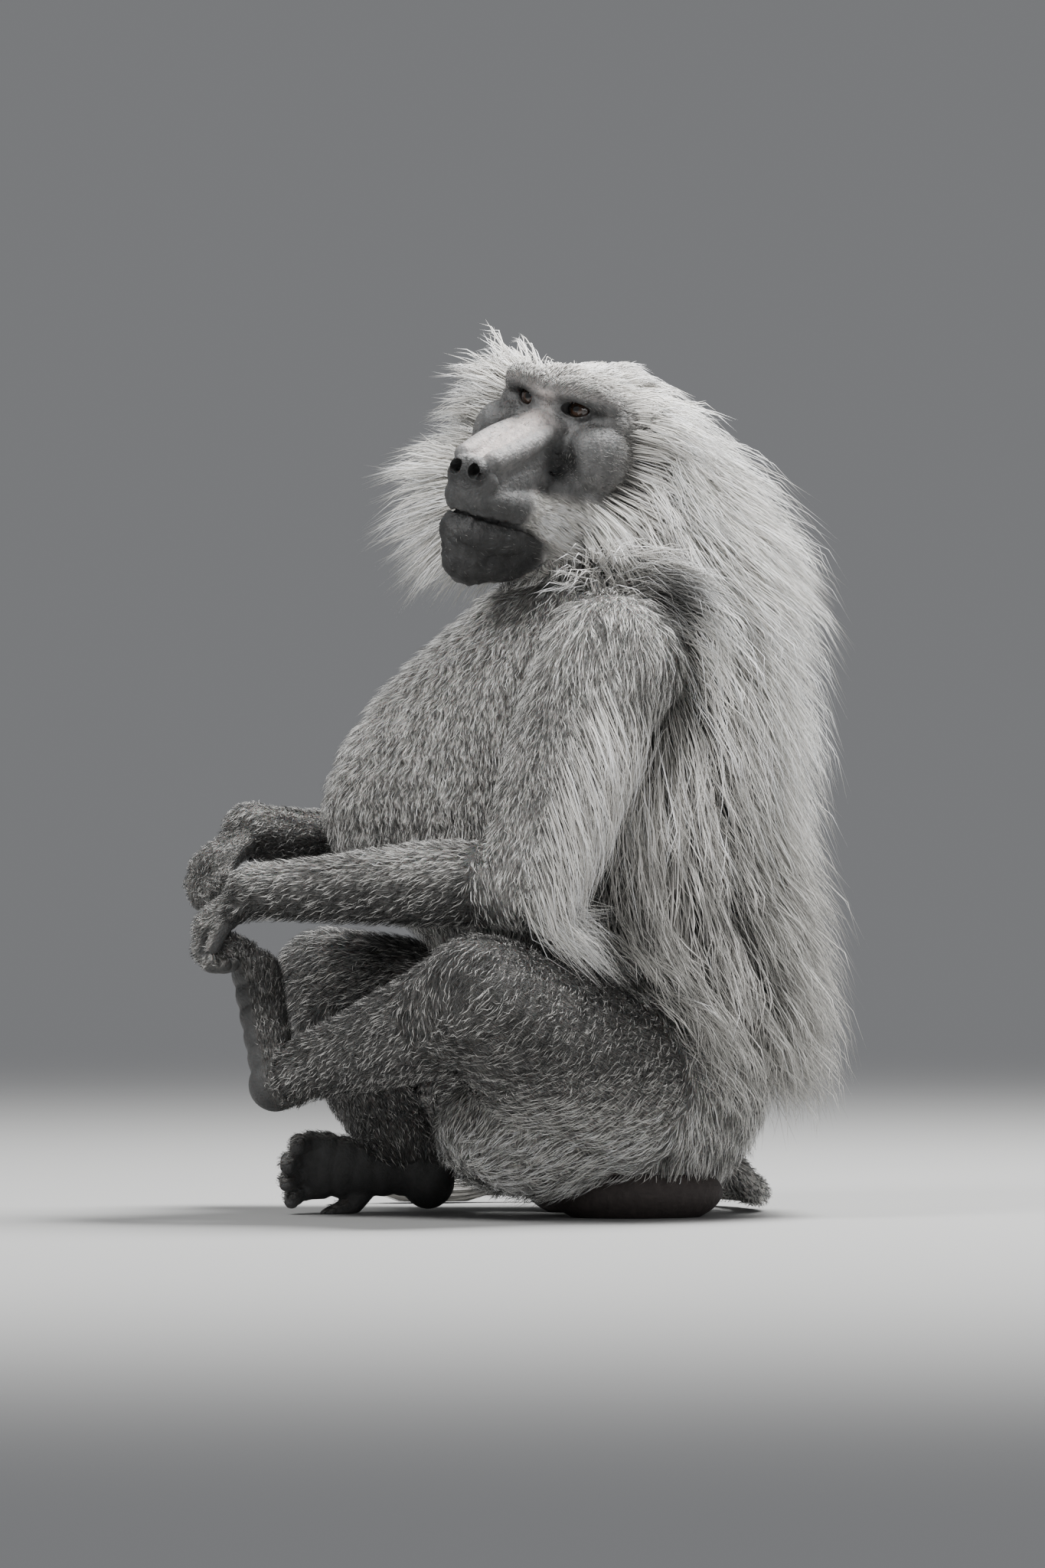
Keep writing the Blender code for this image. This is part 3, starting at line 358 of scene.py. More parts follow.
def head_form():
    """Skull, brows, cheeks, muzzle, nose, lips and jaw."""
    form = bmesh.new()
    head_ball(form, (-0.056, 0, -0.008), (0.056, 0.046, 0.038))
    head_ball(form, (-0.022, 0, 0.002), (0.034, 0.042, 0.029))
    head_ball(form, (-0.020, 0, -0.030), (0.033, 0.049, 0.037))
    for side in (-1, 1):
        brow = [(-0.012, 0.046, 0.008), (0.003, 0.034, 0.0145), (0.0085, 0.015, 0.0140)]
        head_run(form, brow, [0.0105, 0.0110, 0.0098], side)
        head_ball(form, (-0.034, 0.043, -0.010), (0.030, 0.024, 0.028), side)
        head_ball(form, (-0.014, 0.045, -0.036), (0.036, 0.030, 0.030), side)
        head_ball(form, (-0.036, 0.043, -0.070), (0.040, 0.026, 0.040), side)
        head_ball(form, (-0.006, 0.032, -0.066), (0.032, 0.020, 0.028), side)
        head_ball(form, (-0.002, 0.030, -0.092), (0.040, 0.020, 0.029), side)
        ridge = [(-0.004, 0.015, -0.0175), (0.042, 0.0175, -0.0365), (0.083, 0.0142, -0.0545)]
        head_run(form, ridge, [0.0095, 0.0105, 0.0095], side)
        head_ball(form, (0.0910, 0.0095, -0.0655), (0.0118, 0.0092, 0.0118), side)
        head_ball(form, (0.0830, 0.0160, -0.0700), (0.0125, 0.0082, 0.0112), side)
        lip = [(0.030, 0.0235, -0.086), (0.064, 0.0195, -0.086), (0.0838, 0.0080, -0.086)]
        head_run(form, lip, [0.0170, 0.0150, 0.0138], side)
        under = [(0.025, 0.0235, -0.113), (0.060, 0.0178, -0.114), (0.0783, 0.0065, -0.115)]
        head_run(form, under, [0.0165, 0.0162, 0.0158], side)
        jaw = [(-0.045, 0.038, -0.098), (0.010, 0.024, -0.121), (0.056, 0.008, -0.134)]
        head_run(form, jaw, [0.023, 0.021, 0.0188], side)
        head_ball(form, (EYE_BACK, 0.5 * EYE_SPACING, 0), (EYE_RADIUS + 0.0028,) * 3, side)
    head_run(form, [(0.003, -0.02, 0.011), (0.007, 0, 0.0095), (0.003, 0.02, 0.011)], [0.010, 0.010, 0.010])
    head_run(form, [(0.0, 0, -0.038), (0.042, 0, -0.062), (0.076, 0, -0.078)], [0.033, 0.030, 0.0250])
    head_ball(form, (0.036, 0, -0.085), (0.045, 0.031, 0.020))
    head_ball(form, (0.0896, 0, -0.066), (0.0120, 0.0128, 0.0142))
    head_ball(form, (0.066, 0, -0.124), (0.0265, 0.0230, 0.0200))
    head_ball(form, (0.063, 0, -0.134), (0.0260, 0.0225, 0.0232))
    head_ball(form, (0.025, 0, -0.115), (0.050, 0.029, 0.029))
    head_ball(form, (-0.030, 0, -0.103), (0.048, 0.042, 0.038))
    return form


head_skin = drawn_over("head_skin", head_form(), 0.0013, 5, 70000)

# The muzzle's mouth line is found on the smooth head, then pressed in with the other folds
MOUTH_LINE = -0.0995
MOUTH_STEPS = 28
head_tree = BVHTree.FromObject(head_skin, bpy.context.evaluated_depsgraph_get())


def mouth_points():
    """The line where the lips meet, as it runs round the muzzle."""
    points = []
    for step in range(MOUTH_STEPS + 1):
        turn = math.radians(-112 + 224 * step / MOUTH_STEPS)
        drop = 0.0045 * (2 * step / MOUTH_STEPS - 1) ** 2
        inside = at_head(0.050, 0, MOUTH_LINE - drop)
        outward = HEAD_AXES @ Vector((math.cos(turn), math.sin(turn), 0))
        hit = head_tree.ray_cast(inside + outward * 0.2, -outward)[0]
        points.append(HEAD_AXES.transposed() @ (hit - EYES_MIDDLE))
    return np.array(points)


def near_line(points, line):
    """Distance of each point to a broken line."""
    best = np.full(len(points), 1e9)
    for start, end in zip(line, line[1:]):
        span = end - start
        share = np.clip(((points - start) @ span) / max(span @ span, 1e-12), 0, 1)
        best = np.minimum(best, np.linalg.norm(points - start - share[:, None] * span, axis=1))
    return best


def hump(distance, width):
    return np.exp(-((distance / width) ** 2))


def spot(local, centre, size):
    return hump(np.linalg.norm((local - np.array(centre)) / np.array(size), axis=1), 1.0)


def eased(values, low, high):
    """0 below low, 1 above high, smooth between them."""
    t = np.clip((values - low) / (high - low), 0, 1)
    return t * t * (3 - 2 * t)


def mesh_arrays(mesh):
    """A mesh's points and normals as arrays."""
    points = np.empty(len(mesh.vertices) * 3, np.float32)
    normals = np.empty(len(mesh.vertices) * 3, np.float32)
    mesh.vertices.foreach_get("co", points)
    mesh.vertices.foreach_get("normal", normals)
    return points.reshape(-1, 3).astype(float), normals.reshape(-1, 3).astype(float)


def move_points(mesh, points):
    """Sets the places of a mesh's points."""
    mesh.vertices.foreach_set("co", points.ravel())
    mesh.update()


AXES = np.array(HEAD_AXES)
EYES = np.array(EYES_MIDDLE)


def in_head(points):
    """Points in the head's own axes from between the eyes: a is ahead, l is to its left and h is high."""
    return (points - EYES) @ AXES


# One full turn in radians, as exact as a random start needs
FULL_TURN = 6.283


def speckle(points, scale, seed):
    """Smooth random numbers from -1 to 1 that vary over about that distance."""
    rng = np.random.default_rng(seed)
    total = np.zeros(len(points))
    for _ in range(6):
        way = rng.normal(size=3)
        way *= 2 * np.pi / (scale * (0.6 + 0.8 * rng.random())) / np.linalg.norm(way)
        total += np.sin(points @ way + rng.random() * FULL_TURN)
    return total / 3.2


# Folds round the eyes: radius, height, side of the eye, depth and width
LID_FOLDS = (
    (0.0160, 0.002, 1, 0.0013, 0.0016),
    (0.0165, -0.001, -1, 0.0009, 0.0014),
    (0.0205, -0.002, -1, 0.0008, 0.0018),
)
# Hollows beside the muzzle and behind the cheek: depth, middle and size
CHEEK_HOLLOWS = (
    (0.0065, (0.014, 0.037, -0.042), (0.016, 0.022, 0.019)),
    (0.0030, (0.030, 0.036, -0.052), (0.018, 0.026, 0.016)),
    (0.0045, (-0.012, 0.072, -0.034), (0.026, 0.020, 0.018)),
)
# Lines pressed in on each side: the muzzle's groove, its furrows, the chin's wrinkles, nostril wing and frown
FACE_LINES = [(0.0016, 0.0045, ((0.006, 0.030, -0.020), (0.042, 0.030, -0.046), (0.074, 0.025, -0.066)))]
for k, high in enumerate((-0.060, -0.067, -0.074, -0.081)):
    furrow = ((0.034 + 0.01 * k, 0.030, high + 0.010), (0.072, 0.027, high - 0.004))
    FACE_LINES.append((0.0009, 0.0013, furrow))
for k in range(4):
    wrinkle = ((0.076 - 0.010 * k, 0.012, -0.112), (0.066 - 0.012 * k, 0.022, -0.140))
    FACE_LINES.append((0.0015, 0.0018, wrinkle))
nostril_wing = ((0.086, 0.0225, -0.060), (0.079, 0.0240, -0.070), (0.085, 0.0200, -0.080))
FACE_LINES.append((0.0022, 0.0022, nostril_wing))
FACE_LINES.append((0.0010, 0.0020, ((0.012, 0.006, 0.018), (0.010, 0.0055, -0.004))))


def fold_face(mesh):
    """Presses the folds of the face into the head and raises the rims beside them."""
    points, normals = mesh_arrays(mesh)
    local = in_head(points)
    a, l, h = local.T
    mouth = near_line(local, mouth_points())
    rise = 0.0010 * hump(mouth - 0.0042, 0.0022) - 0.0038 * hump(mouth, 0.0015)
    rise -= 0.0016 * hump(np.abs(l), 0.0016) * eased(a, 0.080, 0.092) * eased(h, -0.097, -0.090)
    turn = np.radians(np.linspace(-25, 205, 15))
    for side in (-1, 1):
        for radius, lift, way, deep, wide in LID_FOLDS:
            across = 0.5 * EYE_SPACING * side + radius * np.cos(turn)
            above = lift + way * 0.60 * radius * np.sin(turn)
            arc = np.stack([np.full(len(turn), EYE_BACK + 0.008), across, above], axis=1)
            rise -= deep * hump(near_line(local, arc), wide) * eased(a, -0.02, -0.008)
        near = local * (1, side, 1)
        for deep, centre, size in CHEEK_HOLLOWS:
            rise -= deep * spot(near, centre, size)
        for deep, wide, line in FACE_LINES:
            rise -= deep * hump(near_line(near, np.array(line)), wide)
    chin = eased(a, 0.010, 0.040) * eased(-h, 0.085, 0.100)
    rise += 0.0007 * chin * speckle(points, 0.009, 11) + 0.0005 * chin * speckle(points, 0.005, 12)
    move_points(mesh, points + normals * rise[:, None])


fold_face(head_skin.data)


def openings():
    """The rooms of the eyes, the almonds between the lids, and the nostrils, as cutters."""
    cutters = []
    wide = EYE_RADIUS + 0.0003
    off_middle = 0.5 * EYE_SPACING
    for side in (-1, 1):
        tilt = HEAD_AXES @ Matrix.Rotation(math.radians(9) * side, 3, "X")
        turn = head_turned(24 * side, 12)
        for name, (ahead, left, high), radii, axes in (
            ("eye_room", (EYE_BACK, off_middle, 0), (wide, wide, wide), HEAD_AXES),
            ("almond", (EYE_BACK + 0.012, off_middle + 0.0012, -0.0008), (0.014, 0.0116, 0.0064), tilt),
            ("nostril", (0.1010, 0.0094, -0.0645), (0.0130, 0.0054, 0.0062), turn),
            ("nostril_slit", (0.0980, 0.0140, -0.0672), (0.0100, 0.0046, 0.0032), turn),
        ):
            form = bmesh.new()
            ball(form, at_head(ahead, left * side, high), radii, axes, 4)
            cutters.append(put(name, form))
    return cutters


joined(head_skin, openings(), "DIFFERENCE")

# Each ear is a thin rounded bowl, open outwards and forwards
for side in (-1, 1):
    facing = head_turned(-62 * side, -8)
    centre = at_head(-0.048, 0.068 * side, 0.000)
    form = bmesh.new()
    ball(form, centre, (0.0068, 0.0150, 0.0215), facing, 4)
    ear_skin = put("ear_skin", form)
    outward = facing @ Vector((1, 0, 0))
    if outward.dot(HEAD_AXES @ Vector((0, side, 0))) < 0:
        outward = -outward
    cup = bmesh.new()
    ball(cup, centre + outward * 0.0068, (0.0080, 0.0125, 0.0185), facing, 4)
    joined(ear_skin, [put("cup", cup)], "DIFFERENCE")
    joined(head_skin, [ear_skin], "UNION")

skin = drawn_over("skin", body_form(), 0.0030, 8, 52000)
paws = drawn_over("paws", paws_form(), 0.0015, 3, 52000)
joined(skin, [paws, head_skin], "UNION")


def flatten_base(mesh):
    """Sets what would sink under the floor on it, as the resting weight does."""
    points, _ = mesh_arrays(mesh)
    points[:, 2] = np.where(points[:, 2] < 0.004, np.maximum(points[:, 2], 0.0006), points[:, 2])
    move_points(mesh, points)


flatten_base(skin.data)

# Each part of the body: its middle line's two ends and its radius, which tells what part a point is on
BONES = {
    "head": (at_head(-0.060, 0, -0.015), at_head(0.085, 0, -0.090), 0.040),
    "neck": (at_head(-0.080, 0, -0.040), Vector((0, 0.085, 0.500)), 0.052),
    "trunk": (Vector((0, 0.06, 0.05)), Vector((0, 0.05, 0.47)), 0.118),
}
for kind, start, end, radius in (("arm", "shoulder", "elbow", 0.042), ("forearm", "elbow", "wrist", 0.027)):
    for name, joint in JOINTS.items():
        BONES[f"{kind}_{name}"] = (joint[start], joint[end], radius)
for name, palm in (("left", (-0.037, -0.036, -0.030)), ("right", (0.030, -0.043, -0.029))):
    wrist = JOINTS[name]["wrist"]
    BONES[f"hand_{name}"] = (wrist, wrist + Vector(palm), 0.022)
for kind, start, end, radius in (("thigh", "hip", "knee", 0.058), ("shank", "knee", "ankle", 0.034)):
    for name, joint in JOINTS.items():
        BONES[f"{kind}_{name}"] = (joint[start], joint[end], radius)
BONES["foot_left"] = (JOINTS["left"]["heel"], JOINTS["left"]["toes"], 0.022)
BONES["foot_right"] = (Vector((-0.040, -0.082, 0.027)), JOINTS["right"]["toes"], 0.022)
BONES["tail_base"] = (TAIL[1], TAIL[3], 0.012)
BONES["tail_bend"] = (TAIL[3], TAIL[5], 0.009)
BONES["tail_end"] = (TAIL[5], TAIL[7], 0.009)
PARTS = list(BONES)


def bone_reach(points, name):
    """For points: how far outside a part's radius they are, and their share along its middle line."""
    start, end, radius = BONES[name]
    start, end = np.array(start), np.array(end)
    span = end - start
    share = ((points - start) @ span) / (span @ span)
    held = np.clip(share, 0, 1)
    off = points - start - held[:, None] * span
    if name == "trunk":
        stations = np.array(TRUNK)
        front = np.interp(points[:, 2], stations[:, 0], stations[:, 1])
        back = np.interp(points[:, 2], stations[:, 0], stations[:, 2])
        half = np.interp(points[:, 2], stations[:, 0], stations[:, 3]) - COAT_DEPTH
        deep = 0.5 * (back - front) - COAT_DEPTH
        oval = np.sqrt((points[:, 0] / half) ** 2 + ((points[:, 1] - 0.5 * (front + back)) / deep) ** 2)
        beyond = np.maximum(points[:, 2] - 0.50, 0) + np.maximum(0.02 - points[:, 2], 0)
        return (oval - 1) * half + beyond, share
    return np.linalg.norm(off, axis=1) - radius, share


def part_of(points):
    """The number of the part that each point is on."""
    return np.argmin([bone_reach(points, name)[0] for name in PARTS], axis=0)


# The hide spread flat has one tile for each part, in columns and rows
TILE_COLUMNS = 5
TILE_ROWS = 4


def unwrapped(points, parts, turn_near=None):
    """Where each point lies on the hide spread flat: each part is slit and rolled out in its own tile."""
    spread = np.zeros((len(points), 2))
    turns = np.zeros(len(points))
    for number, name in enumerate(PARTS):
        chosen = parts == number
        if not chosen.any():
            continue
        start, end, _ = BONES[name]
        axis = (end - start).normalized()
        side = axis.orthogonal().normalized()
        if name in ("trunk", "neck"):
            side = Vector((0, -1, 0))
        if name == "head":
            side = HEAD_AXES @ Vector((0, 0, -1))
        other = np.array(axis.cross(side))
        off = points[chosen] - np.array(start)
        turn = np.arctan2(off @ other, off @ np.array(side)) / (2 * np.pi) + 0.5
        if turn_near is not None:
            turn = turn + np.round(turn_near[chosen] - turn)
        turns[chosen] = turn
        share = (off @ np.array(axis)) / (end - start).length
        column, row = number % TILE_COLUMNS, number // TILE_COLUMNS
        spread[chosen, 0] = (column + 0.04 + 0.92 * np.clip(turn, -0.03, 1.03)) / TILE_COLUMNS
        spread[chosen, 1] = (row + 0.04 + 0.92 * np.clip((share + 0.9) / 2.8, 0, 1)) / TILE_ROWS
    return spread, turns


def lay_out(mesh):
    """Gives the skin the map of the hide spread flat."""
    points, _ = mesh_arrays(mesh)
    faces = len(mesh.polygons)
    centres = np.empty(faces * 3)
    mesh.polygons.foreach_get("center", centres)
    centres = centres.reshape(-1, 3)
    parts = part_of(centres)
    _, middle_turn = unwrapped(centres, parts)
    counts = np.empty(faces, np.int32)
    mesh.polygons.foreach_get("loop_total", counts)
    owner = np.repeat(np.arange(faces), counts)
    corners = np.empty(len(mesh.loops), np.int32)
    mesh.loops.foreach_get("vertex_index", corners)
    spread, _ = unwrapped(points[corners], parts[owner], middle_turn[owner])
    layer = mesh.uv_layers.new(name="OFBake")
    layer.data.foreach_set("uv", spread.ravel().astype(np.float32))


def blot(tone, where, value, strength=1.0):
    """Mixes a value into the tones, by weight."""
    weight = np.clip(where * strength, 0, 1)
    return tone * (1 - weight) + value * weight


def spotted(tone, local, marks):
    """Blots the same spots on both sides of the head: centre, size, value and strength of each."""
    for side in (-1, 1):
        near = local * (1, side, 1)
        for centre, size, value, strength in marks:
            tone = blot(tone, spot(near, centre, size), value, strength)
    return tone


def skin_tone(points, parts):
    """Lightness of the bare skin, from near black on hands and chin to pale on the muzzle's top. The pale
    muzzle top is painted light, and the dark chin, eye rings, muzzle sides and jowls are painted shade, the
    jowls' dark partly their own.
    """
    local = in_head(points)
    a, l, h = local.T
    face = np.full(len(points), 0.105)
    face = spotted(face, local, (
        ((-0.004, 0.060, -0.022), (0.028, 0.026, 0.022), 0.110, 1),
        ((0.004, 0.028, -0.020), (0.018, 0.016, 0.008), 0.175, 1),
        ((-0.002, 0.062, -0.012), (0.020, 0.018, 0.012), 0.070, 1),
    ))
    # The muzzle's lower sides a little darker: painted shade below the muzzle's ridges.
    side_of_muzzle = eased(np.abs(l), 0.015, 0.024) * eased(a, 0.030, 0.050) * eased(-h, 0.040, 0.056)
    face = blot(face, side_of_muzzle, 0.095)
    # The muzzle's flat top much paler: painted light where the light from above falls on it.
    top = hump(l, 0.019) * eased(a, 0.000, 0.020) * eased(h + 0.60 * a, -0.026, -0.008)
    face = blot(face, top, 0.36, 1.1)
    face = blot(face, eased(h, 0.006, 0.012) * (1 - eased(h, 0.020, 0.030)) * eased(a, -0.03, -0.01), 0.22)
    # Painted shade: near black in the hollow beside the muzzle, dark round each eye under the brow, and dark
    # on the jowl behind the jaw, the jowl partly its own darker tone.
    face = spotted(face, local, (
        ((0.0125, 0.0350, -0.0430), (0.018, 0.013, 0.018), 0.014, 1.5),
        ((0.000, 0.5 * EYE_SPACING, 0.000), (0.020, 0.0165, 0.0088), 0.060, 1.6),
        ((-0.034, 0.060, -0.058), (0.016, 0.018, 0.016), 0.08, 0.9),
    ))
    face = blot(face, spot(local, (0.101, 0.0, -0.067), (0.017, 0.030, 0.017)), 0.026, 1.7)
    lip = eased(a, 0.040, 0.070) * eased(-h, 0.074, 0.088)
    face = blot(face, lip, 0.045, 0.9)
    # The chin and underside of the jaw near black: painted shade under the lifted chin.
    jaw_back = 0.018 + 0.010 * speckle(points, 0.030, 9)
    jaw = eased(-h - 0.05 * np.abs(a - 0.08), 0.0985, 0.1030) * eased(a - jaw_back, -0.006, 0.012)
    face = blot(face, jaw, 0.022 + 0.011 * speckle(points, 0.020, 8))
    face *= 1 + 0.12 * speckle(points, 0.012, 4) + 0.12 * speckle(points, 0.0045, 5)
    return np.where(is_part(parts, "hand", "foot"), 0.050, face)


def is_part(parts, *names):
    """Whether each number is of a part whose name starts with one of these."""
    chosen = [number for number, name in enumerate(PARTS) if name.startswith(names)]
    return np.isin(parts, chosen)


def by_part(parts, value, **own):
    """A value everywhere, but on each kind of part the value given for it."""
    for kind, special in own.items():
        value = np.where(is_part(parts, kind), special, value)
    return value


PAW_BACKS = {
    "hand_left": (-0.2, -0.7, 0.7),
    "hand_right": (0.1, -0.5, 0.85),
    "foot_left": (0.45, 0.85, 0.35),
    "foot_right": (-0.5, -0.2, 0.8),
}


def fur_cover(points, normals, parts):
    """How furred the skin is: 0 on the bare face, palms, soles and finger ends, 1 elsewhere."""
    a, _, h = in_head(points).T
    low = eased(-h, 0.066, 0.082)
    high = eased(h, 0.008, 0.020)
    lip_end = 0.042 - 0.026 * eased(-h, 0.098, 0.112)
    throat = eased(-h, 0.148, 0.156) * eased(0.056 - a, 0.0, 0.012)
    bare_low = eased(a - lip_end, -0.008, 0.012) * (1 - throat)
    bare_middle = eased(a, -0.036, -0.004)
    bare = low * bare_low + (1 - low) * (1 - high) * bare_middle
    cover = np.where(is_part(parts, "head"), 1 - np.clip(bare, 0, 1), 1.0)
    for name, back in PAW_BACKS.items():
        on_it = parts == PARTS.index(name)
        _, share = bone_reach(points, name)
        facing = normals @ (np.array(back) / np.linalg.norm(back))
        covered = eased(facing, -0.25, 0.25) * (1 - eased(share, 1.45, 1.80))
        cover = np.where(on_it, covered, cover)
    return cover


def coat_tone(points, parts):
    """Lightness of the short coat: pale chest, hams and forearm tops, dark legs and undersides; the forearms'
    pale tops and dark undersides and the dark jowls are painted light and shade.
    """
    _, y, z = points.T
    chest = 0.44 + 0.10 * eased(z, 0.22, 0.40) + 0.10 * eased(y, -0.02, 0.08)
    tone = by_part(parts, np.full(len(points), 0.50), trunk=chest)
    # Forearms: painted light and shade, pale on the side above their middle line and dark below it.
    for name in ("forearm_left", "forearm_right"):
        start, end, radius = BONES[name]
        _, share = bone_reach(points, name)
        axis_height = start.z + np.clip(share, 0, 1) * (end.z - start.z)
        top_side = eased((z - axis_height) / radius, -0.3, 0.9)
        tone = np.where(is_part(parts, name), 0.12 + 0.36 * top_side, tone)
    ham = 0.20 + 0.45 * eased(-z, -0.130, -0.060)
    tone = by_part(parts, tone, thigh=ham, shank=0.18, hand=0.25, foot=0.18, tail=0.34)
    local = in_head(points)
    a, _, h = local.T
    head = 0.30 + 0.42 * eased(h, 0.014, 0.034) + 0.40 * eased(-a, 0.020, 0.050)
    head = blot(head, eased(-h, 0.058, 0.078), 0.86)
    # Painted shade on the jowl behind the jaw, partly its own darker hair.
    head = spotted(head, local, (((-0.034, 0.062, -0.058), (0.015, 0.018, 0.015), 0.10, 1),))
    tone = np.where(is_part(parts, "head"), np.minimum(head, 0.86), tone)
    return tone * (1 + 0.12 * speckle(points, 0.05, 5) + 0.10 * speckle(points, 0.018, 6))


def skin_colour(points, parts, furred):
    """Skin lightness turned to colour: pinkish brown where bare, the coat's own grey under the fur."""
    mottle = 1 + 0.14 * speckle(points, 0.010, 3) + 0.12 * speckle(points, 0.003, 4)
    tone = skin_tone(points, parts) * mottle
    warm = 0.10 * eased(tone, 0.06, 0.4)
    bare = [tone * (1.0 + 1.1 * warm), tone * (1.0 - 0.25 * warm), tone * (0.99 - 0.75 * warm)]
    bare = np.stack(bare, axis=1)
    under = (0.80 * coat_tone(points, parts))[:, None] * np.array((1.03, 1.0, 0.95))
    colour = bare * (1 - furred[:, None]) + under * furred[:, None]
    return np.concatenate([colour, furred[:, None]], axis=1)


def paint(mesh, colours):
    """Stores a colour for each point of a mesh."""
    layer = mesh.color_attributes.new("marking", "FLOAT_COLOR", "POINT")
    layer.data.foreach_set("color", np.clip(colours, 0, 1).ravel().astype(np.float32))


def shade_smooth(mesh):
    """Shades a mesh without edges."""
    mesh.polygons.foreach_set("use_smooth", np.ones(len(mesh.polygons), bool))


def store_lie(mesh, points, parts):
    """Stores for each point its place round and along its part, in metres, for the streaks of the fur."""
    place = np.zeros((len(points), 3))
    _, turns = unwrapped(points, parts)
    for number, name in enumerate(PARTS):
        chosen = parts == number
        start, end, radius = BONES[name]
        share = bone_reach(points[chosen], name)[1]
        length = (end - start).length
        round_it = turns[chosen] * FULL_TURN * radius
        place[chosen] = np.stack([round_it, share * length, np.full(chosen.sum(), number)], axis=1)
    layer = mesh.attributes.new("lie", "FLOAT_VECTOR", "POINT")
    layer.data.foreach_set("vector", place.ravel().astype(np.float32))


skin_points, skin_normals = mesh_arrays(skin.data)
skin_parts = part_of(skin_points)
lay_out(skin.data)
paint(skin.data, skin_colour(skin_points, skin_parts, fur_cover(skin_points, skin_normals, skin_parts)))
store_lie(skin.data, skin_points, skin_parts)
shade_smooth(skin.data)


def marked(name, values):
    """A finish whose colour is the stored marking, with these values of its shader."""
    made = bpy.data.materials.new(name)
    made.use_nodes = True
    tree = made.node_tree
    shader = tree.nodes["Principled BSDF"]
    for socket, value in values.items():
        shader.inputs[socket].default_value = value
    marking = tree.nodes.new("ShaderNodeAttribute")
    marking.attribute_name = "marking"
    tree.links.new(marking.outputs["Color"], shader.inputs["Base Color"])
    return made


def add_node(tree, kind, values):
    """A new node of a finish, with these values of its inputs."""
    node = tree.nodes.new("ShaderNode" + kind)
    for socket, value in values.items():
        node.inputs[socket].default_value = value
    return node


def add_bump(made, scale, distance):
    """Adds a fine grain over the whole of a finish."""
    tree = made.node_tree
    place = tree.nodes.new("ShaderNodeTexCoord")
    grain = add_node(tree, "TexNoise", {"Scale": scale, "Detail": 4.0})
    bump = add_node(tree, "Bump", {"Distance": distance})
    tree.links.new(place.outputs["Object"], grain.inputs["Vector"])
    tree.links.new(grain.outputs["Fac"], bump.inputs["Height"])
    tree.links.new(bump.outputs["Normal"], tree.nodes["Principled BSDF"].inputs["Normal"])
    return made


def add_streaks(made):
    """Draws the short flat fur on a finish: fine streaks along each part, dark between the pale hairs."""
    tree = made.node_tree
    shader = tree.nodes["Principled BSDF"]
    marking = [node for node in tree.nodes if node.type == "ATTRIBUTE"][0]
    grain = [node for node in tree.nodes if node.type == "BUMP"][0]
    lie = tree.nodes.new("ShaderNodeAttribute")
    lie.attribute_name = "lie"
    stretch = add_node(tree, "Mapping", {"Scale": (1.0, 0.16, 1.0)})
    streaks = add_node(tree, "TexNoise", {"Scale": 900.0, "Detail": 3.0})
    contrast = add_node(tree, "MapRange", {"From Min": 0.36, "From Max": 0.66, "To Min": 0.25, "To Max": 2.1})
    shown = add_node(tree, "Mix", {"A": 1.0})
    tinted = tree.nodes.new("ShaderNodeVectorMath")
    tinted.operation = "SCALE"
    raised = tree.nodes.new("ShaderNodeMath")
    raised.operation = "MULTIPLY"
    ridges = add_node(tree, "Bump", {"Distance": 0.0020})
    link = tree.links.new
    link(lie.outputs["Vector"], stretch.inputs["Vector"])
    link(stretch.outputs["Vector"], streaks.inputs["Vector"])
    link(streaks.outputs["Fac"], contrast.inputs["Value"])
    link(marking.outputs["Alpha"], shown.inputs["Factor"])
    link(contrast.outputs["Result"], shown.inputs["B"])
    link(marking.outputs["Color"], tinted.inputs[0])
    link(shown.outputs["Result"], tinted.inputs["Scale"])
    link(tinted.outputs["Vector"], shader.inputs["Base Color"])
    link(contrast.outputs["Result"], raised.inputs[0])
    link(marking.outputs["Alpha"], raised.inputs[1])
    link(raised.outputs["Value"], ridges.inputs["Height"])
    link(grain.outputs["Normal"], ridges.inputs["Normal"])
    link(ridges.outputs["Normal"], shader.inputs["Normal"])
    return made


hide = marked("hide", {"Roughness": 0.60, "Subsurface Weight": 0.06, "Subsurface Scale": 0.004})
hide = add_streaks(add_bump(hide, 420.0, 0.0012))
skin.data.materials.clear()
skin.data.materials.append(hide)
skin_tree = BVHTree.FromObject(skin, bpy.context.evaluated_depsgraph_get())

FLESH_NODES = [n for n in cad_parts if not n.startswith(("eye", "pad", "tail_tuft"))]


# Eyes: wet brown-black balls set deep under the brow, looking the way the head faces.
# Each is a ball with a raised clear window at its front, held in the room between the lids.

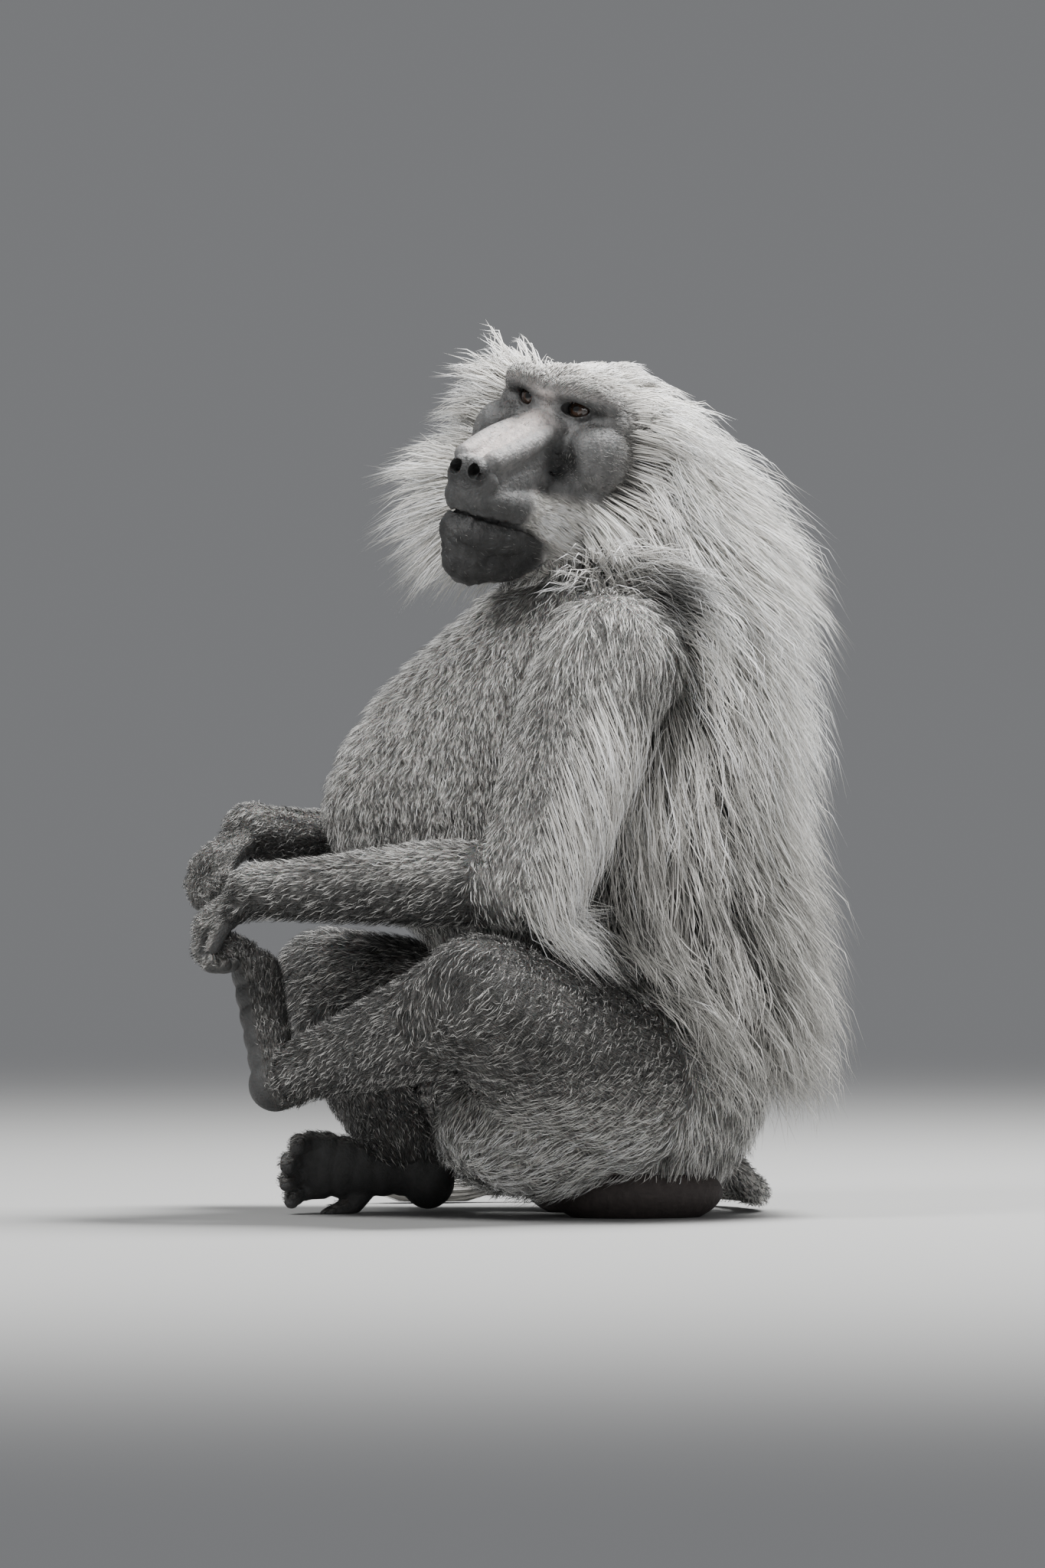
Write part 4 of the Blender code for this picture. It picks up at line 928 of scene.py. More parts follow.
def eyeball(side):
    """One eye with its raised window, and its white, iris and pupil in the stored marking."""
    form = bmesh.new()
    centre = at_head(EYE_BACK, 0.5 * EYE_SPACING * side, 0)
    ball(form, centre, (EYE_RADIUS, EYE_RADIUS, EYE_RADIUS), HEAD_AXES, 5)
    gaze = (HEAD_AXES @ Vector((1, 0.10, -0.02))).normalized()
    for vert in form.verts:
        facing = (vert.co - centre).normalized().dot(gaze)
        vert.co += gaze * 0.0009 * max(0, (facing - 0.86) / 0.14) ** 0.5
    made = put("eye_left_ball" if side > 0 else "eye_right_ball", form)
    points, _ = mesh_arrays(made.data)
    off = points - np.array(centre)
    off /= np.linalg.norm(off, axis=1)[:, None]
    ring = np.degrees(np.arccos(np.clip(off @ np.array(gaze), -1, 1)))
    turn = np.arctan2(off @ AXES[:, 1], off @ AXES[:, 2])
    rays = 0.75 + 0.25 * np.sin(turn * 23 + 2 * np.sin(turn * 7))
    white = np.array((0.045, 0.030, 0.024))
    iris = np.array((0.050, 0.021, 0.009))
    colour = white * np.ones((len(points), 1))
    in_iris = (1 - eased(ring, 33, 36))[:, None]
    colour = colour * (1 - in_iris) + in_iris * iris * rays[:, None]
    rim = hump(ring - 34, 3.0)[:, None]
    colour = colour * (1 - 0.8 * rim)
    pupil = (1 - eased(ring, 13, 15))[:, None]
    colour = colour * (1 - pupil) + 0.004 * pupil
    paint(made.data, np.concatenate([colour, np.ones((len(points), 1))], axis=1))
    shade_smooth(made.data)
    return made


wet_eye = marked("wet_eye", {"Roughness": 0.18, "Coat Weight": 1.0, "Coat Roughness": 0.02})
add_bump(wet_eye, 900.0, 0.00002)
for side, node in ((1, "eye_left"), (-1, "eye_right")):
    eye = eyeball(side)
    eye.data.materials.append(wet_eye)
    eye.data.transform(Matrix.Translation(SHIFT))
    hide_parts(node)
    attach(eye, "root")


# Sitting pads: two bare, horny, grey-pink cushions of skin over the seat bones, that the animal rests on.
# Each is one flat-bottomed oval, set against the hams.

horn_skin = add_bump(marked("horn_skin", {"Roughness": 0.75}), 260.0, 0.0012)
for side, node in ((1, "pad_left"), (-1, "pad_right")):
    form = bmesh.new()
    ball(form, Vector((0.056 * side, 0.072, 0.020)), (0.047, 0.071, 0.0295), None, 4)
    pad = drawn_over(node + "_skin", form, 0.0025, 3, 9000)
    points, _ = mesh_arrays(pad.data)
    points[:, 2] = np.maximum(points[:, 2], 0.0)
    move_points(pad.data, points)
    on_hand = np.full(len(points), PARTS.index("hand_left"))
    paint(pad.data, skin_colour(points, on_hand, np.zeros(len(points))) * np.array((0.95, 0.76, 0.72, 1)))
    shade_smooth(pad.data)
    pad.data.materials.append(horn_skin)
    pad.data.transform(Matrix.Translation(SHIFT))
    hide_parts(node)
    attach(pad, "root")


# Short coat: grizzled grey hairs of body, limbs, hands, feet and tail, each banded light and dark.
# Hairs grow in small tufts; a few are combed over the skin and those between follow the nearest of them.

dice = np.random.default_rng(11)


def skin_triangles():
    """Corner numbers, areas, middles and parts of the skin's triangles."""
    mesh = skin.data
    mesh.calc_loop_triangles()
    corners = np.empty(len(mesh.loop_triangles) * 3, np.int32)
    mesh.loop_triangles.foreach_get("vertices", corners)
    corners = corners.reshape(-1, 3)
    first, second, third = (skin_points[corners[:, i]] for i in range(3))
    areas = 0.5 * np.linalg.norm(np.cross(second - first, third - first), axis=1)
    middles = (first + second + third) / 3
    return corners, areas, middles


triangle_corners, triangle_areas, triangle_middles = skin_triangles()
triangle_parts = part_of(triangle_middles)
triangle_normals = skin_normals[triangle_corners].mean(axis=1)


def sown(count, density):
    """Random places on the skin, as thick as the density of their triangle, with normals and parts."""
    weight = triangle_areas * density
    chosen = dice.choice(len(weight), count, p=weight / weight.sum())
    u, v = dice.random((2, count))
    flip = u + v > 1
    u, v = np.where(flip, 1 - u, u), np.where(flip, 1 - v, v)
    mix = np.stack([1 - u - v, u, v], axis=1)[:, :, None]
    points = (skin_points[triangle_corners[chosen]] * mix).sum(axis=1)
    normals = (skin_normals[triangle_corners[chosen]] * mix).sum(axis=1)
    normals /= np.linalg.norm(normals, axis=1)[:, None]
    return points, normals, triangle_parts[chosen]


# The way of the hair on a limb: its share of the limb's own way, and what is added to that
LIMB_FLOWS = {
    "arm": (1.0, (0, 0.45, -0.25)),
    "forearm": (0.9, (0, 0.15, -0.35)),
    "thigh": (0.7, (0, 0, -0.7)),
    "shank": (1.0, (0, 0.1, -0.3)),
}


def flow_of(points, parts):
    """The way the hair lies at each place."""
    flow = np.zeros((len(points), 3))
    for number, name in enumerate(PARTS):
        chosen = parts == number
        if not chosen.any():
            continue
        start, end, _ = BONES[name]
        axis = np.array((end - start).normalized())
        here = points[chosen]
        whole = np.ones(len(here))
        if name == "trunk":
            way = np.stack([here[:, 0] * 1.5, np.where(here[:, 1] < 0, -0.1, 0.1), -whole], axis=1)
        elif name == "neck":
            way = np.stack([here[:, 0] * 4, 0.3 + 3 * (here[:, 1] - 0.06), -whole], axis=1)
        elif name == "head":
            local = in_head(here)
            back = np.stack([-whole, 7 * local[:, 1], -0.15 + 2.5 * (local[:, 2] + 0.03)], axis=1)
            way = back @ AXES.T
        else:
            share, lean = LIMB_FLOWS.get(name.split("_")[0], (1.0, (0, 0, 0)))
            way = axis * share + np.array(lean)
        flow[chosen] = way
    return flow / np.linalg.norm(flow, axis=1)[:, None]


def combed(points, normals, flows, lengths, heights, cling, steps, sag=0.0):
    """Guide hairs combed over the skin: their paths, and the way up from the skin along them."""
    paths = np.zeros((len(points), steps + 1, 3))
    ups = np.zeros((len(points), steps + 1, 3))
    for i in range(len(points)):
        place = Vector(points[i])
        up = Vector(normals[i])
        flow = Vector(flows[i])
        heading = (flow - up * flow.dot(up) + up * 0.35).normalized()
        paths[i, 0] = place
        ups[i, 0] = up
        stride = lengths[i] / steps
        for step in range(1, steps + 1):
            share = step / steps
            place = place + heading * stride
            near, normal, _, _ = skin_tree.find_nearest(place)
            high = (place - near).dot(normal)
            target = heights[i] * math.sin(0.5 * math.pi * min(1, 1.25 * share)) ** 0.8
            pull = 1.0 if high < 0.5 * target else cling
            place = place + normal * (target - high) * pull
            place.z = max(place.z, 0.004)
            up = up.lerp(normal, 0.6).normalized()
            heading = heading.lerp(flow + Vector((0, 0, -sag * share)), 0.35)
            heading = (heading - up * heading.dot(up) * 0.8).normalized()
            paths[i, step] = place
            ups[i, step] = up
    for _ in range(2):
        paths[:, 1:-1] = 0.5 * paths[:, 1:-1] + 0.25 * (paths[:, :-2] + paths[:, 2:])
    return paths, ups


def follow(points, guides, guide_ups, reach, clump, stations, layer, curl):
    """Hairs that follow the three nearest guides and gather towards the nearest one at their tips."""
    tree = KDTree(len(guides))
    for i, path in enumerate(guides):
        tree.insert(path[0], i)
    tree.balance()
    found = [tree.find_n(p, 3) for p in points]
    index = np.array([[f[1] for f in row] for row in found])
    away = np.array([[f[2] for f in row] for row in found]) + 0.0015
    weights = (1 / away**2) / (1 / away**2).sum(axis=1)[:, None]
    steps = guides.shape[1] - 1
    shares = np.linspace(0, 1, stations + 1)
    at = np.clip(shares[None, :] * reach[:, None], 0, 1) * steps
    low = np.minimum(at.astype(int), steps - 1)
    part = (at - low)[:, :, None]
    rows = np.arange(len(points))[:, None]

    def sample(values, column):
        chosen = values[index[:, column]]
        return chosen[rows, low] * (1 - part) + chosen[rows, low + 1] * part

    path = np.zeros((len(points), stations + 1, 3))
    up = np.zeros_like(path)
    for column in range(3):
        start = guides[index[:, column], 0][:, None]
        path += weights[:, column, None, None] * (sample(guides, column) - start)
        up += weights[:, column, None, None] * sample(guide_ups, column)
    path += points[:, None]
    up /= np.linalg.norm(up, axis=2)[:, :, None]
    gather = (clump[:, None] * shares[None, :] ** 1.2)[:, :, None]
    aim = sample(guides, 0) + 0.15 * (points - guides[index[:, 0], 0])[:, None]
    path = path * (1 - gather) + aim * gather
    rise = ((path - points[:, None]) * up).sum(axis=2)
    path -= up * (rise * (1 - layer[:, None]))[:, :, None]
    first_turn = dice.random((len(points), 1)) * FULL_TURN
    turn = first_turn + shares[None, :] * (4 + 4 * dice.random((len(points), 1)))
    along_way = np.gradient(path, axis=1)
    along_way /= np.linalg.norm(along_way, axis=2)[:, :, None] + 1e-9
    side = np.cross(along_way, up)
    amount = (curl[:, None] * shares[None, :])[:, :, None]
    path += side * amount * np.sin(turn)[:, :, None] + up * amount * 0.5 * np.cos(turn)[:, :, None]
    path[:, :, 2] = np.maximum(path[:, :, 2], 0.0012)
    return path, up, index[:, 0]


MOST_TRIANGLES = 190000
SHIFT_ARRAY = np.array(SHIFT)
coat_hair = marked("coat_hair", {"Roughness": 0.50, "Sheen Weight": 0.12, "Specular IOR Level": 0.35})


def hair_meshes(name, slot, points, parts, paths, ups, widths, colours):
    """Flat three-sided tapered hairs as closed meshes of limited size. colours has one for each station."""
    stations = paths.shape[1] - 1
    per_hair = 6 * (stations - 1) + 3 + 1
    batch = MOST_TRIANGLES // per_hair
    order = np.argsort(paths[:, 0, 2])[::-1]
    roots_map, _ = unwrapped(points, parts)
    for number, first in enumerate(range(0, len(paths), batch), 1):
        chosen = order[first:first + batch]
        own = [values[chosen] for values in (paths, ups, widths, colours, roots_map)]
        build_hairs(f"{name}_{number}", slot, *own)


def build_hairs(name, slot, paths, ups, widths, colours, roots_map):
    """One mesh of hairs, with its marking, its map and its finish."""
    count, stations = paths.shape[0], paths.shape[1] - 1
    way = np.gradient(paths, axis=1)
    way /= np.linalg.norm(way, axis=2)[:, :, None] + 1e-9
    side = np.cross(way, ups)
    side /= np.linalg.norm(side, axis=2)[:, :, None] + 1e-9
    top = np.cross(side, way)
    shares = np.linspace(0, 1, stations + 1)
    broad = (0.75 + 0.9 * shares - 1.65 * shares**2)[None, :, None] * 0.5 * widths[:, None, None]
    broad = np.maximum(broad, 0.00012)
    first = paths + side * broad
    second = paths + top * broad * 0.7
    third = paths - side * broad
    body = np.stack([first, second, third], axis=2)[:, :-1]
    verts = np.concatenate([body.reshape(count, -1, 3), paths[:, -1:]], axis=1) + SHIFT_ARRAY
    per_vert = 3 * stations + 1
    quads = []
    for k in range(stations - 1):
        for a, b in ((0, 1), (1, 2), (2, 0)):
            quads.append((3 * k + b, 3 * k + a, 3 * k + 3 + a, 3 * k + 3 + b))
    last = 3 * (stations - 1)
    tips = [(last + b, last + a, last + 3) for a, b in ((0, 1), (1, 2), (2, 0))] + [(0, 1, 2)]
    loops = [v for quad in quads for v in quad] + [v for tip in tips for v in tip]
    sizes = [4] * len(quads) + [3] * len(tips)
    corner = (np.array(loops)[None, :] + np.arange(count)[:, None] * per_vert).ravel().astype(np.int32)
    totals = np.tile(np.array(sizes, np.int32), count)
    starts = np.concatenate([[0], np.cumsum(totals)[:-1]]).astype(np.int32)
    mesh = bpy.data.meshes.new(name)
    mesh.vertices.add(count * per_vert)
    mesh.vertices.foreach_set("co", verts.ravel().astype(np.float32))
    mesh.loops.add(len(corner))
    mesh.loops.foreach_set("vertex_index", corner)
    mesh.polygons.add(len(totals))
    mesh.polygons.foreach_set("loop_start", starts)
    shade_smooth(mesh)
    mesh.update(calc_edges=True)
    shade = np.repeat(colours[:, :-1], 3, axis=1)
    shade = np.concatenate([shade, colours[:, -1:]], axis=1).reshape(-1, 3)
    paint(mesh, np.concatenate([shade, np.ones((len(shade), 1))], axis=1))
    across = np.array([0.0, 0.5, 1.0] * stations + [0.5]) - 0.5
    down = np.repeat(shares[:-1], 3).tolist() + [1.0]
    patch = np.stack([across, np.array(down) - 0.5], axis=1) * 0.003
    flat = (roots_map[:, None] + patch[None]).reshape(-1, 2)
    layer = mesh.uv_layers.new(name="OFBake")
    layer.data.foreach_set("uv", flat[corner].ravel().astype(np.float32))
    made = bpy.data.objects.new(name, mesh)
    bpy.context.scene.collection.objects.link(made)
    mesh.materials.append(coat_hair)
    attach(made, "root")
    return made


def short_coat_length(points, parts):
    """Length of the short hair at each place."""
    _, y, z = points.T
    return by_part(
        parts,
        np.full(len(points), 0.016),
        trunk=0.018 + 0.010 * eased(y, 0.0, 0.09),
        neck=0.026,
        arm=0.017 + 0.010 * eased(z, 0.38, 0.46),
        thigh=0.014 + 0.015 * eased(-z, -0.125, -0.055),
        forearm=0.0125,
        shank=0.0105,
        tail=0.0105,
        hand=0.0062,
        foot=0.0062,
    )


def varied(places, least, spread):
    """A random number for each place, from the least up to that much more."""
    return least + spread * dice.random(len(places))


def banded(tone, shares, contrast, spread):
    """Long hairs: dark towards the root and light over the middle, with a spread between hairs."""
    each = tone * np.exp(spread * dice.normal(size=len(tone)))
    run_out = 1 - contrast + contrast * (0.25 + 1.15 * eased(shares, 0.10, 0.75))[None, :]
    values = each[:, None] * run_out
    warm = np.array((1.03, 1.0, 0.945))
    return np.clip(values[:, :, None] * warm, 0.004, 0.95)


def grizzled(tone, shares):
    """Mixed hairs: as many pale ones among the dark as give the tone, each darker towards its root."""
    palest = 0.36 + 0.80 * tone
    darkest = 0.30 * tone
    pale = dice.random(len(tone)) < 0.12 + 0.95 * tone
    each = np.where(pale, palest, darkest) * np.exp(0.16 * dice.normal(size=len(tone)))
    values = each[:, None] * (0.50 + 0.60 * eased(shares, 0.0, 0.6))[None, :]
    return np.clip(values[:, :, None] * np.array((1.02, 1.0, 0.955)), 0.004, 0.95)


triangle_x, triangle_y, triangle_z = triangle_middles.T
mane_line = 0.080 - 0.050 * eased(triangle_z, 0.14, 0.26)
long_back = is_part(triangle_parts, "trunk") * eased(triangle_y - mane_line, -0.02, 0.03)
long_back = long_back * eased(triangle_z, 0.10, 0.15)
triangle_cover = fur_cover(triangle_middles, triangle_normals, triangle_parts)
nape = eased(triangle_y, 0.05, 0.10)
short_density = by_part(triangle_parts, np.ones(len(triangle_middles)), head=0.0, neck=1 - nape)
short_density = short_density * (1 - 0.85 * long_back) * triangle_cover
thicker = by_part(triangle_parts, 1.0, hand=2.2, foot=2.2, thigh=1.5, shank=1.5, forearm=1.5)
short_density = short_density * thicker * eased(triangle_z, 0.002, 0.010)

SHORT_HAIRS = 74000
guide_points, guide_normals, guide_parts = sown(6500, short_density)
guide_lengths = short_coat_length(guide_points, guide_parts)
guide_flows = flow_of(guide_points, guide_parts) + 0.17 * dice.normal(size=(len(guide_points), 3))
guide_heights = guide_lengths * 0.36
short_guides, short_ups = combed(
    guide_points, guide_normals, guide_flows, guide_lengths, guide_heights, 0.8, 4
)
points, _, parts = sown(SHORT_HAIRS, short_density)
reach = varied(points, 0.65, 0.35)
clump = varied(points, 0, 0.25)
layer = varied(points, 0.55, 0.70)
curl = varied(points, 0, 0.0042)
paths, ups, _ = follow(points, short_guides, short_ups, reach, clump, 2, layer, curl)
wide = np.where(is_part(parts, "hand", "foot"), 0.0006, 0.0008) * varied(points, 0.7, 0.6)
colours = grizzled(coat_tone(points, parts), np.linspace(0, 1, 3))
hair_meshes("short_coat", "body_coat", points, parts, paths, ups, wide, colours)


# Cape: the long silver mantle of a grown male, from nape and shoulders down over the back and flanks.
# Its locks hang in overlapping layers; guide hairs are combed down over the skin and the rest follow them.

CAPE_DEPTH = 0.056 + 0.003


def cape_depth(points, parts):
    """How far the long hair stands off the skin at its tips."""
    _, y, z = points.T
    trunk = 0.016 + CAPE_DEPTH * eased(y, 0.00, 0.07) * eased(z, 0.03, 0.16)
    return by_part(parts, 0.020, trunk=trunk, neck=0.034 + 0.052 * eased(y, 0.05, 0.13), arm=0.024)


arm_back = np.zeros(len(triangle_middles))
for name in ("arm_left", "arm_right"):
    start, end, _ = BONES[name]
    share = np.clip(bone_reach(triangle_middles, name)[1], 0, 1)
    behind = triangle_y - (start.y + share * (end.y - start.y))
    outside = (triangle_x - (start.x + share * (end.x - start.x))) * np.sign(start.x)
    on_it = is_part(triangle_parts, name) * eased(share, 0.08, 0.30)
    arm_back = np.maximum(arm_back, on_it * eased(behind + 0.8 * outside, 0.004, 0.030))
cape_density = by_part(triangle_parts, long_back, neck=1.6 * nape, arm=arm_back * 0.9)

CAPE_HAIRS = 20000
guide_points, guide_normals, guide_parts = sown(2200, cape_density)
on_arm = is_part(guide_parts, "arm")
guide_flows = flow_of(guide_points, guide_parts) + 0.22 * dice.normal(size=(len(guide_points), 3))
guide_flows = np.where(on_arm[:, None], np.array((0.0, 0.36, -1.0)), guide_flows)
guide_lengths = np.where(on_arm, 0.115, 0.108) * varied(guide_points, 0.85, 0.3)
guide_lengths *= 0.50 + 0.50 * eased(guide_points[:, 2], 0.12, 0.24)
guide_heights = cape_depth(guide_points, guide_parts) * varied(guide_points, 0.75, 0.3)
cape_guides, cape_ups = combed(
    guide_points, guide_normals, guide_flows, guide_lengths, guide_heights, 0.5, 8, 0.3
)
points, _, parts = sown(CAPE_HAIRS, cape_density)
reach = varied(points, 0.60, 0.40)
clump = varied(points, 0.05, 0.45)
layer = varied(points, 0.35, 0.75)
curl = varied(points, 0, 0.0100)
paths, ups, lock_number = follow(points, cape_guides, cape_ups, reach, clump, 3, layer, curl)
wide = 0.0012 * varied(points, 0.7, 0.6)
lock_tone = 1 + 0.12 * dice.normal(size=len(cape_guides))
tone = 0.46 + 0.40 * eased(points[:, 2], 0.28, 0.46)
tone = np.where(is_part(parts, "arm"), 0.88, tone)
tone = tone * np.clip(lock_tone[lock_number], 0.7, 1.3)
colours = banded(tone, np.linspace(0, 1, 4), 0.40, 0.25)


def shaded_pocket(paths, colours):
    """Paints shade into the hair in the deep fold between jaw and shoulder on each side, darkening it."""
    for side in (-1, 1):
        away = (paths - np.array((0.122 * side, 0.093, 0.499))) * np.array((0.5, 1.0, 0.8))
        colours = colours * (1 - 0.90 * hump(np.linalg.norm(away, axis=2), 0.024))[:, :, None]
    return colours


colours = shaded_pocket(paths, colours)
hair_meshes("cape", "mane_hair", points, parts, paths, ups, wide, colours)


# Ruff and face hair: white whiskers that sweep back from the cheeks into a wide fan, and a flat crown.
# They are shortest on muzzle and brow, and lengthen towards the ears.

triangle_local = in_head(triangle_middles)
a, l, h = triangle_local.T
on_head = is_part(triangle_parts, "head", "neck")
ruff_edge = 0.028 - 0.022 * eased(-h, 0.045, 0.075)
behind_crown = eased(-a, 0.050, 0.072)
beside = np.maximum(eased(np.abs(l), 0.038, 0.052), behind_crown)
below = np.maximum(eased(-h + 0.026, 0.0, 0.02), behind_crown)
ruff_density = on_head * (1 + 0.6 * (l < -0.03)) * eased(-a - ruff_edge, -0.010, 0.010) * beside
ruff_density = ruff_density * below * (1 - eased(-a, 0.125, 0.145))
RUFF_HAIRS = 13500


def ruff_paths(points, normals, length, steps):
    """Straight fans with a slight backward bend, spread outwards from the face."""
    local = in_head(points)
    a, l, h = local.T
    turn = np.arctan2(np.abs(l), h + 0.070)
    out = np.stack([np.zeros(len(points)), np.sin(turn) * np.sign(l), np.cos(turn)], axis=1)
    high = np.maximum(0, np.cos(turn))
    near_side = l > 0
    back = np.where(near_side, 0.35 + 5.0 * np.maximum(-a - 0.03, 0) + 0.35 * high, 0.05 + 0.30 * high)
    droop = np.where(near_side, 0.45, 0.12) * (1 - 0.6 * high)
    way = out + np.stack([-back, np.zeros(len(points)), -droop], axis=1)
    way[:, 2] *= np.where(way[:, 2] > 0, np.where(near_side, 0.35, 0.12), 1.0)
    behind = (eased(-a, 0.045, 0.080) * eased(l, -0.045, -0.020))[:, None]
    way = way * (1 - behind) + np.stack([-np.ones(len(points)), 6 * l, 0.08 + 1.5 * h], axis=1) * behind
    way += 0.14 * dice.normal(size=way.shape)
    way /= np.linalg.norm(way, axis=1)[:, None]
    bend_back = np.where(near_side, -0.20 - 0.2 * high, -0.06)
    bend_down = np.where(near_side, -0.45, -0.24)
    bend = np.stack([bend_back, 0.0 * l, bend_down], axis=1)
    shares = np.linspace(0, 1, steps + 1)[None, :, None]
    local_path = local[:, None] + length[:, None, None] * (way[:, None] * shares + bend[:, None] * shares**2)
    start = np.array(normals @ AXES)[:, None]
    local_path += start * 0.010 * np.sin(np.pi * np.minimum(shares, 0.5))
    path = local_path @ AXES.T + EYES
    up = np.tile((np.array((1.0, 0, 0.15)) @ AXES.T), (len(points), steps + 1, 1))
    return path, up


points, normals, parts = sown(1600, ruff_density)
local = in_head(points)
turn = np.arctan2(np.abs(local[:, 1]), local[:, 2] + 0.070)
far_side = local[:, 1] < 0
shorter_above = np.where(far_side, 0.34, 0.50) * np.maximum(0, np.cos(turn))
length = 0.108 * (1 - shorter_above - 0.45 * eased(turn, 1.9, 2.6))
length *= varied(points, 0.80, 0.30) * np.where(far_side, 1.0, 0.88)
ruff_guides, ruff_ups = ruff_paths(points, normals, length, 6)
points, _, parts = sown(RUFF_HAIRS, ruff_density)
reach = varied(points, 0.45, 0.55)
clump = varied(points, 0.05, 0.40)
layer = np.ones(len(points))
curl = varied(points, 0, 0.0080)
paths, ups, lock_number = follow(points, ruff_guides, ruff_ups, reach, clump, 3, layer, curl)
wide = 0.0011 * varied(points, 0.7, 0.6)
lock_tone = 1 + 0.10 * dice.normal(size=len(ruff_guides))
tone = 0.88 * np.clip(lock_tone[lock_number], 0.75, 1.2)
colours = shaded_pocket(paths, banded(tone, np.linspace(0, 1, 4), 0.28, 0.18))
hair_meshes("ruff", "mane_hair", points, parts, paths, ups, wide, colours)

# The crown and brow, and the fine hair of cheeks, lips and chin
on_head = is_part(triangle_parts, "head")
triangle_cover = np.where(on_head, triangle_cover, 0.0)
top_of_neck = is_part(triangle_parts, "neck") * eased(-a, 0.05, 0.08) * eased(h, -0.05, -0.02)
nose = spot(triangle_local, (0.098, 0, -0.066), (0.017, 0.023, 0.014))
bloom = 0.12 * on_head * (1 - np.clip(1.6 * nose, 0, 1))
face_density = np.maximum(triangle_cover, top_of_neck) + bloom
face_density += 1.3 * on_head * (1 - triangle_cover) * eased(-a, -0.024, 0.004)
face_density += 1.4 * triangle_cover * eased(-h, 0.060, 0.076) * eased(a, -0.040, -0.020)
face_density = spotted(face_density, triangle_local, (
    ((0.0, 0.5 * EYE_SPACING, -0.001), (0.02, 0.0165, 0.0100), 0, 1.8),
    ((-0.036, 0.064, -0.058), (0.016, 0.016, 0.014), 0, 0.8),
))
face_density = np.maximum(face_density, 0)


def face_length(points, cover):
    """Hair length on the head: a bloom on the bare face, velvet on the brow, longer towards the back."""
    a, _, h = in_head(points).T
    length = 0.004 + 0.006 * eased(h, 0.010, 0.030) + 0.030 * eased(-a, 0.012, 0.060)
    length = np.where(h < -0.06, 0.010 + 0.020 * eased(-a, -0.040, 0.010), length)
    return 0.0032 + (length - 0.0032) * cover


FACE_HAIRS = 15500
guide_points, guide_normals, guide_parts = sown(1800, face_density)
guide_lengths = face_length(guide_points, fur_cover(guide_points, guide_normals, guide_parts))
guide_flows = flow_of(guide_points, guide_parts) + 0.12 * dice.normal(size=(len(guide_points), 3))
guide_heights = guide_lengths * 0.30
face_guides, face_ups = combed(guide_points, guide_normals, guide_flows, guide_lengths, guide_heights, 0.8, 4)
points, normals, parts = sown(FACE_HAIRS, face_density)
reach = varied(points, 0.65, 0.35)
clump = varied(points, 0.1, 0.3)
layer = varied(points, 0.5, 0.7)
curl = varied(points, 0, 0.0008)
paths, ups, _ = follow(points, face_guides, face_ups, reach, clump, 2, layer, curl)
cover = fur_cover(points, normals, parts)
wide = (0.00032 + 0.00060 * cover) * varied(points, 0.7, 0.6)
tone = coat_tone(points, np.full(len(points), PARTS.index("head"))) * cover
tone += (1 - cover) * (0.06 + 0.26 * dice.random(len(points)) ** 2)
colours = banded(tone * 1.1, np.linspace(0, 1, 3), 0.30, 0.22)
hair_meshes("face_hair", "face_skin", points, parts, paths, ups, wide, colours)


# Tail tuft: a small brush of pale hair past the tail's bone, lying on the floor.
# It is one bundle of hairs from the tail's end that spreads a little and closes to a point.

TUFT_HAIRS = 1500
tail_end = np.array(TAIL[-1])
tail_way = np.array((TAIL[-1] - TAIL[-2]).normalized())
turn = dice.random(TUFT_HAIRS) * FULL_TURN
ring = np.stack([np.cos(turn), np.zeros(TUFT_HAIRS), np.sin(turn)], axis=1)
back = dice.random(TUFT_HAIRS)
roots = tail_end - tail_way * 0.022 * back[:, None] + ring * 0.0075
shares = np.linspace(0, 1, 6)[None, :, None]
long = (0.070 + 0.020 * dice.random(TUFT_HAIRS))[:, None, None]
swell = 0.009 * np.sin(np.pi * np.minimum(shares * 1.1, 1))
spread = 0.4 + 0.8 * dice.random((TUFT_HAIRS, 1, 1))
paths = roots[:, None] + tail_way * long * shares + ring[:, None] * swell * spread
paths += np.array((0.018, 0, 0)) * shares**2 - ring[:, None] * 0.006 * shares
paths[:, :, 2] = np.maximum(paths[:, :, 2], 0.0015)
ups = np.tile(ring[:, None], (1, 6, 1))
wide = 0.0013 * (0.7 + 0.6 * dice.random(TUFT_HAIRS))
colours = banded(np.full(TUFT_HAIRS, 0.60), np.linspace(0, 1, 6), 0.40, 0.18)
parts = np.full(TUFT_HAIRS, PARTS.index("tail_end"))
hair_meshes("tail_brush", "mane_hair", roots, parts, paths, ups, wide, colours)

skin.data.transform(Matrix.Translation(SHIFT))
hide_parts(*FLESH_NODES)
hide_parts("tail_tuft")
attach(skin, "root")


# Studio: a thin round floor of pale paint, which fades into grey air away from the animal.
# Three soft lamps light it, and a long lens looks at it from just above the floor.

studio_paint = bpy.data.materials.new("studio_paint")
studio_paint.use_nodes = True
add_bump(studio_paint, 30.0, 0.0002)
tree = studio_paint.node_tree
shader = tree.nodes["Principled BSDF"]
shader.inputs["Base Color"].default_value = (0.36, 0.36, 0.355, 1)
shader.inputs["Roughness"].default_value = 0.9
place = tree.nodes.new("ShaderNodeTexCoord")
outward = tree.nodes.new("ShaderNodeVectorMath")
outward.operation = "LENGTH"
fade = add_node(tree, "MapRange", {"From Min": 0.8, "From Max": 4.6})
fade.interpolation_type = "SMOOTHERSTEP"
air = tree.nodes.new("ShaderNodeBsdfTransparent")
blend = tree.nodes.new("ShaderNodeMixShader")
tree.links.new(place.outputs["Object"], outward.inputs[0])
tree.links.new(outward.outputs["Value"], fade.inputs["Value"])
tree.links.new(fade.outputs["Result"], blend.inputs["Fac"])
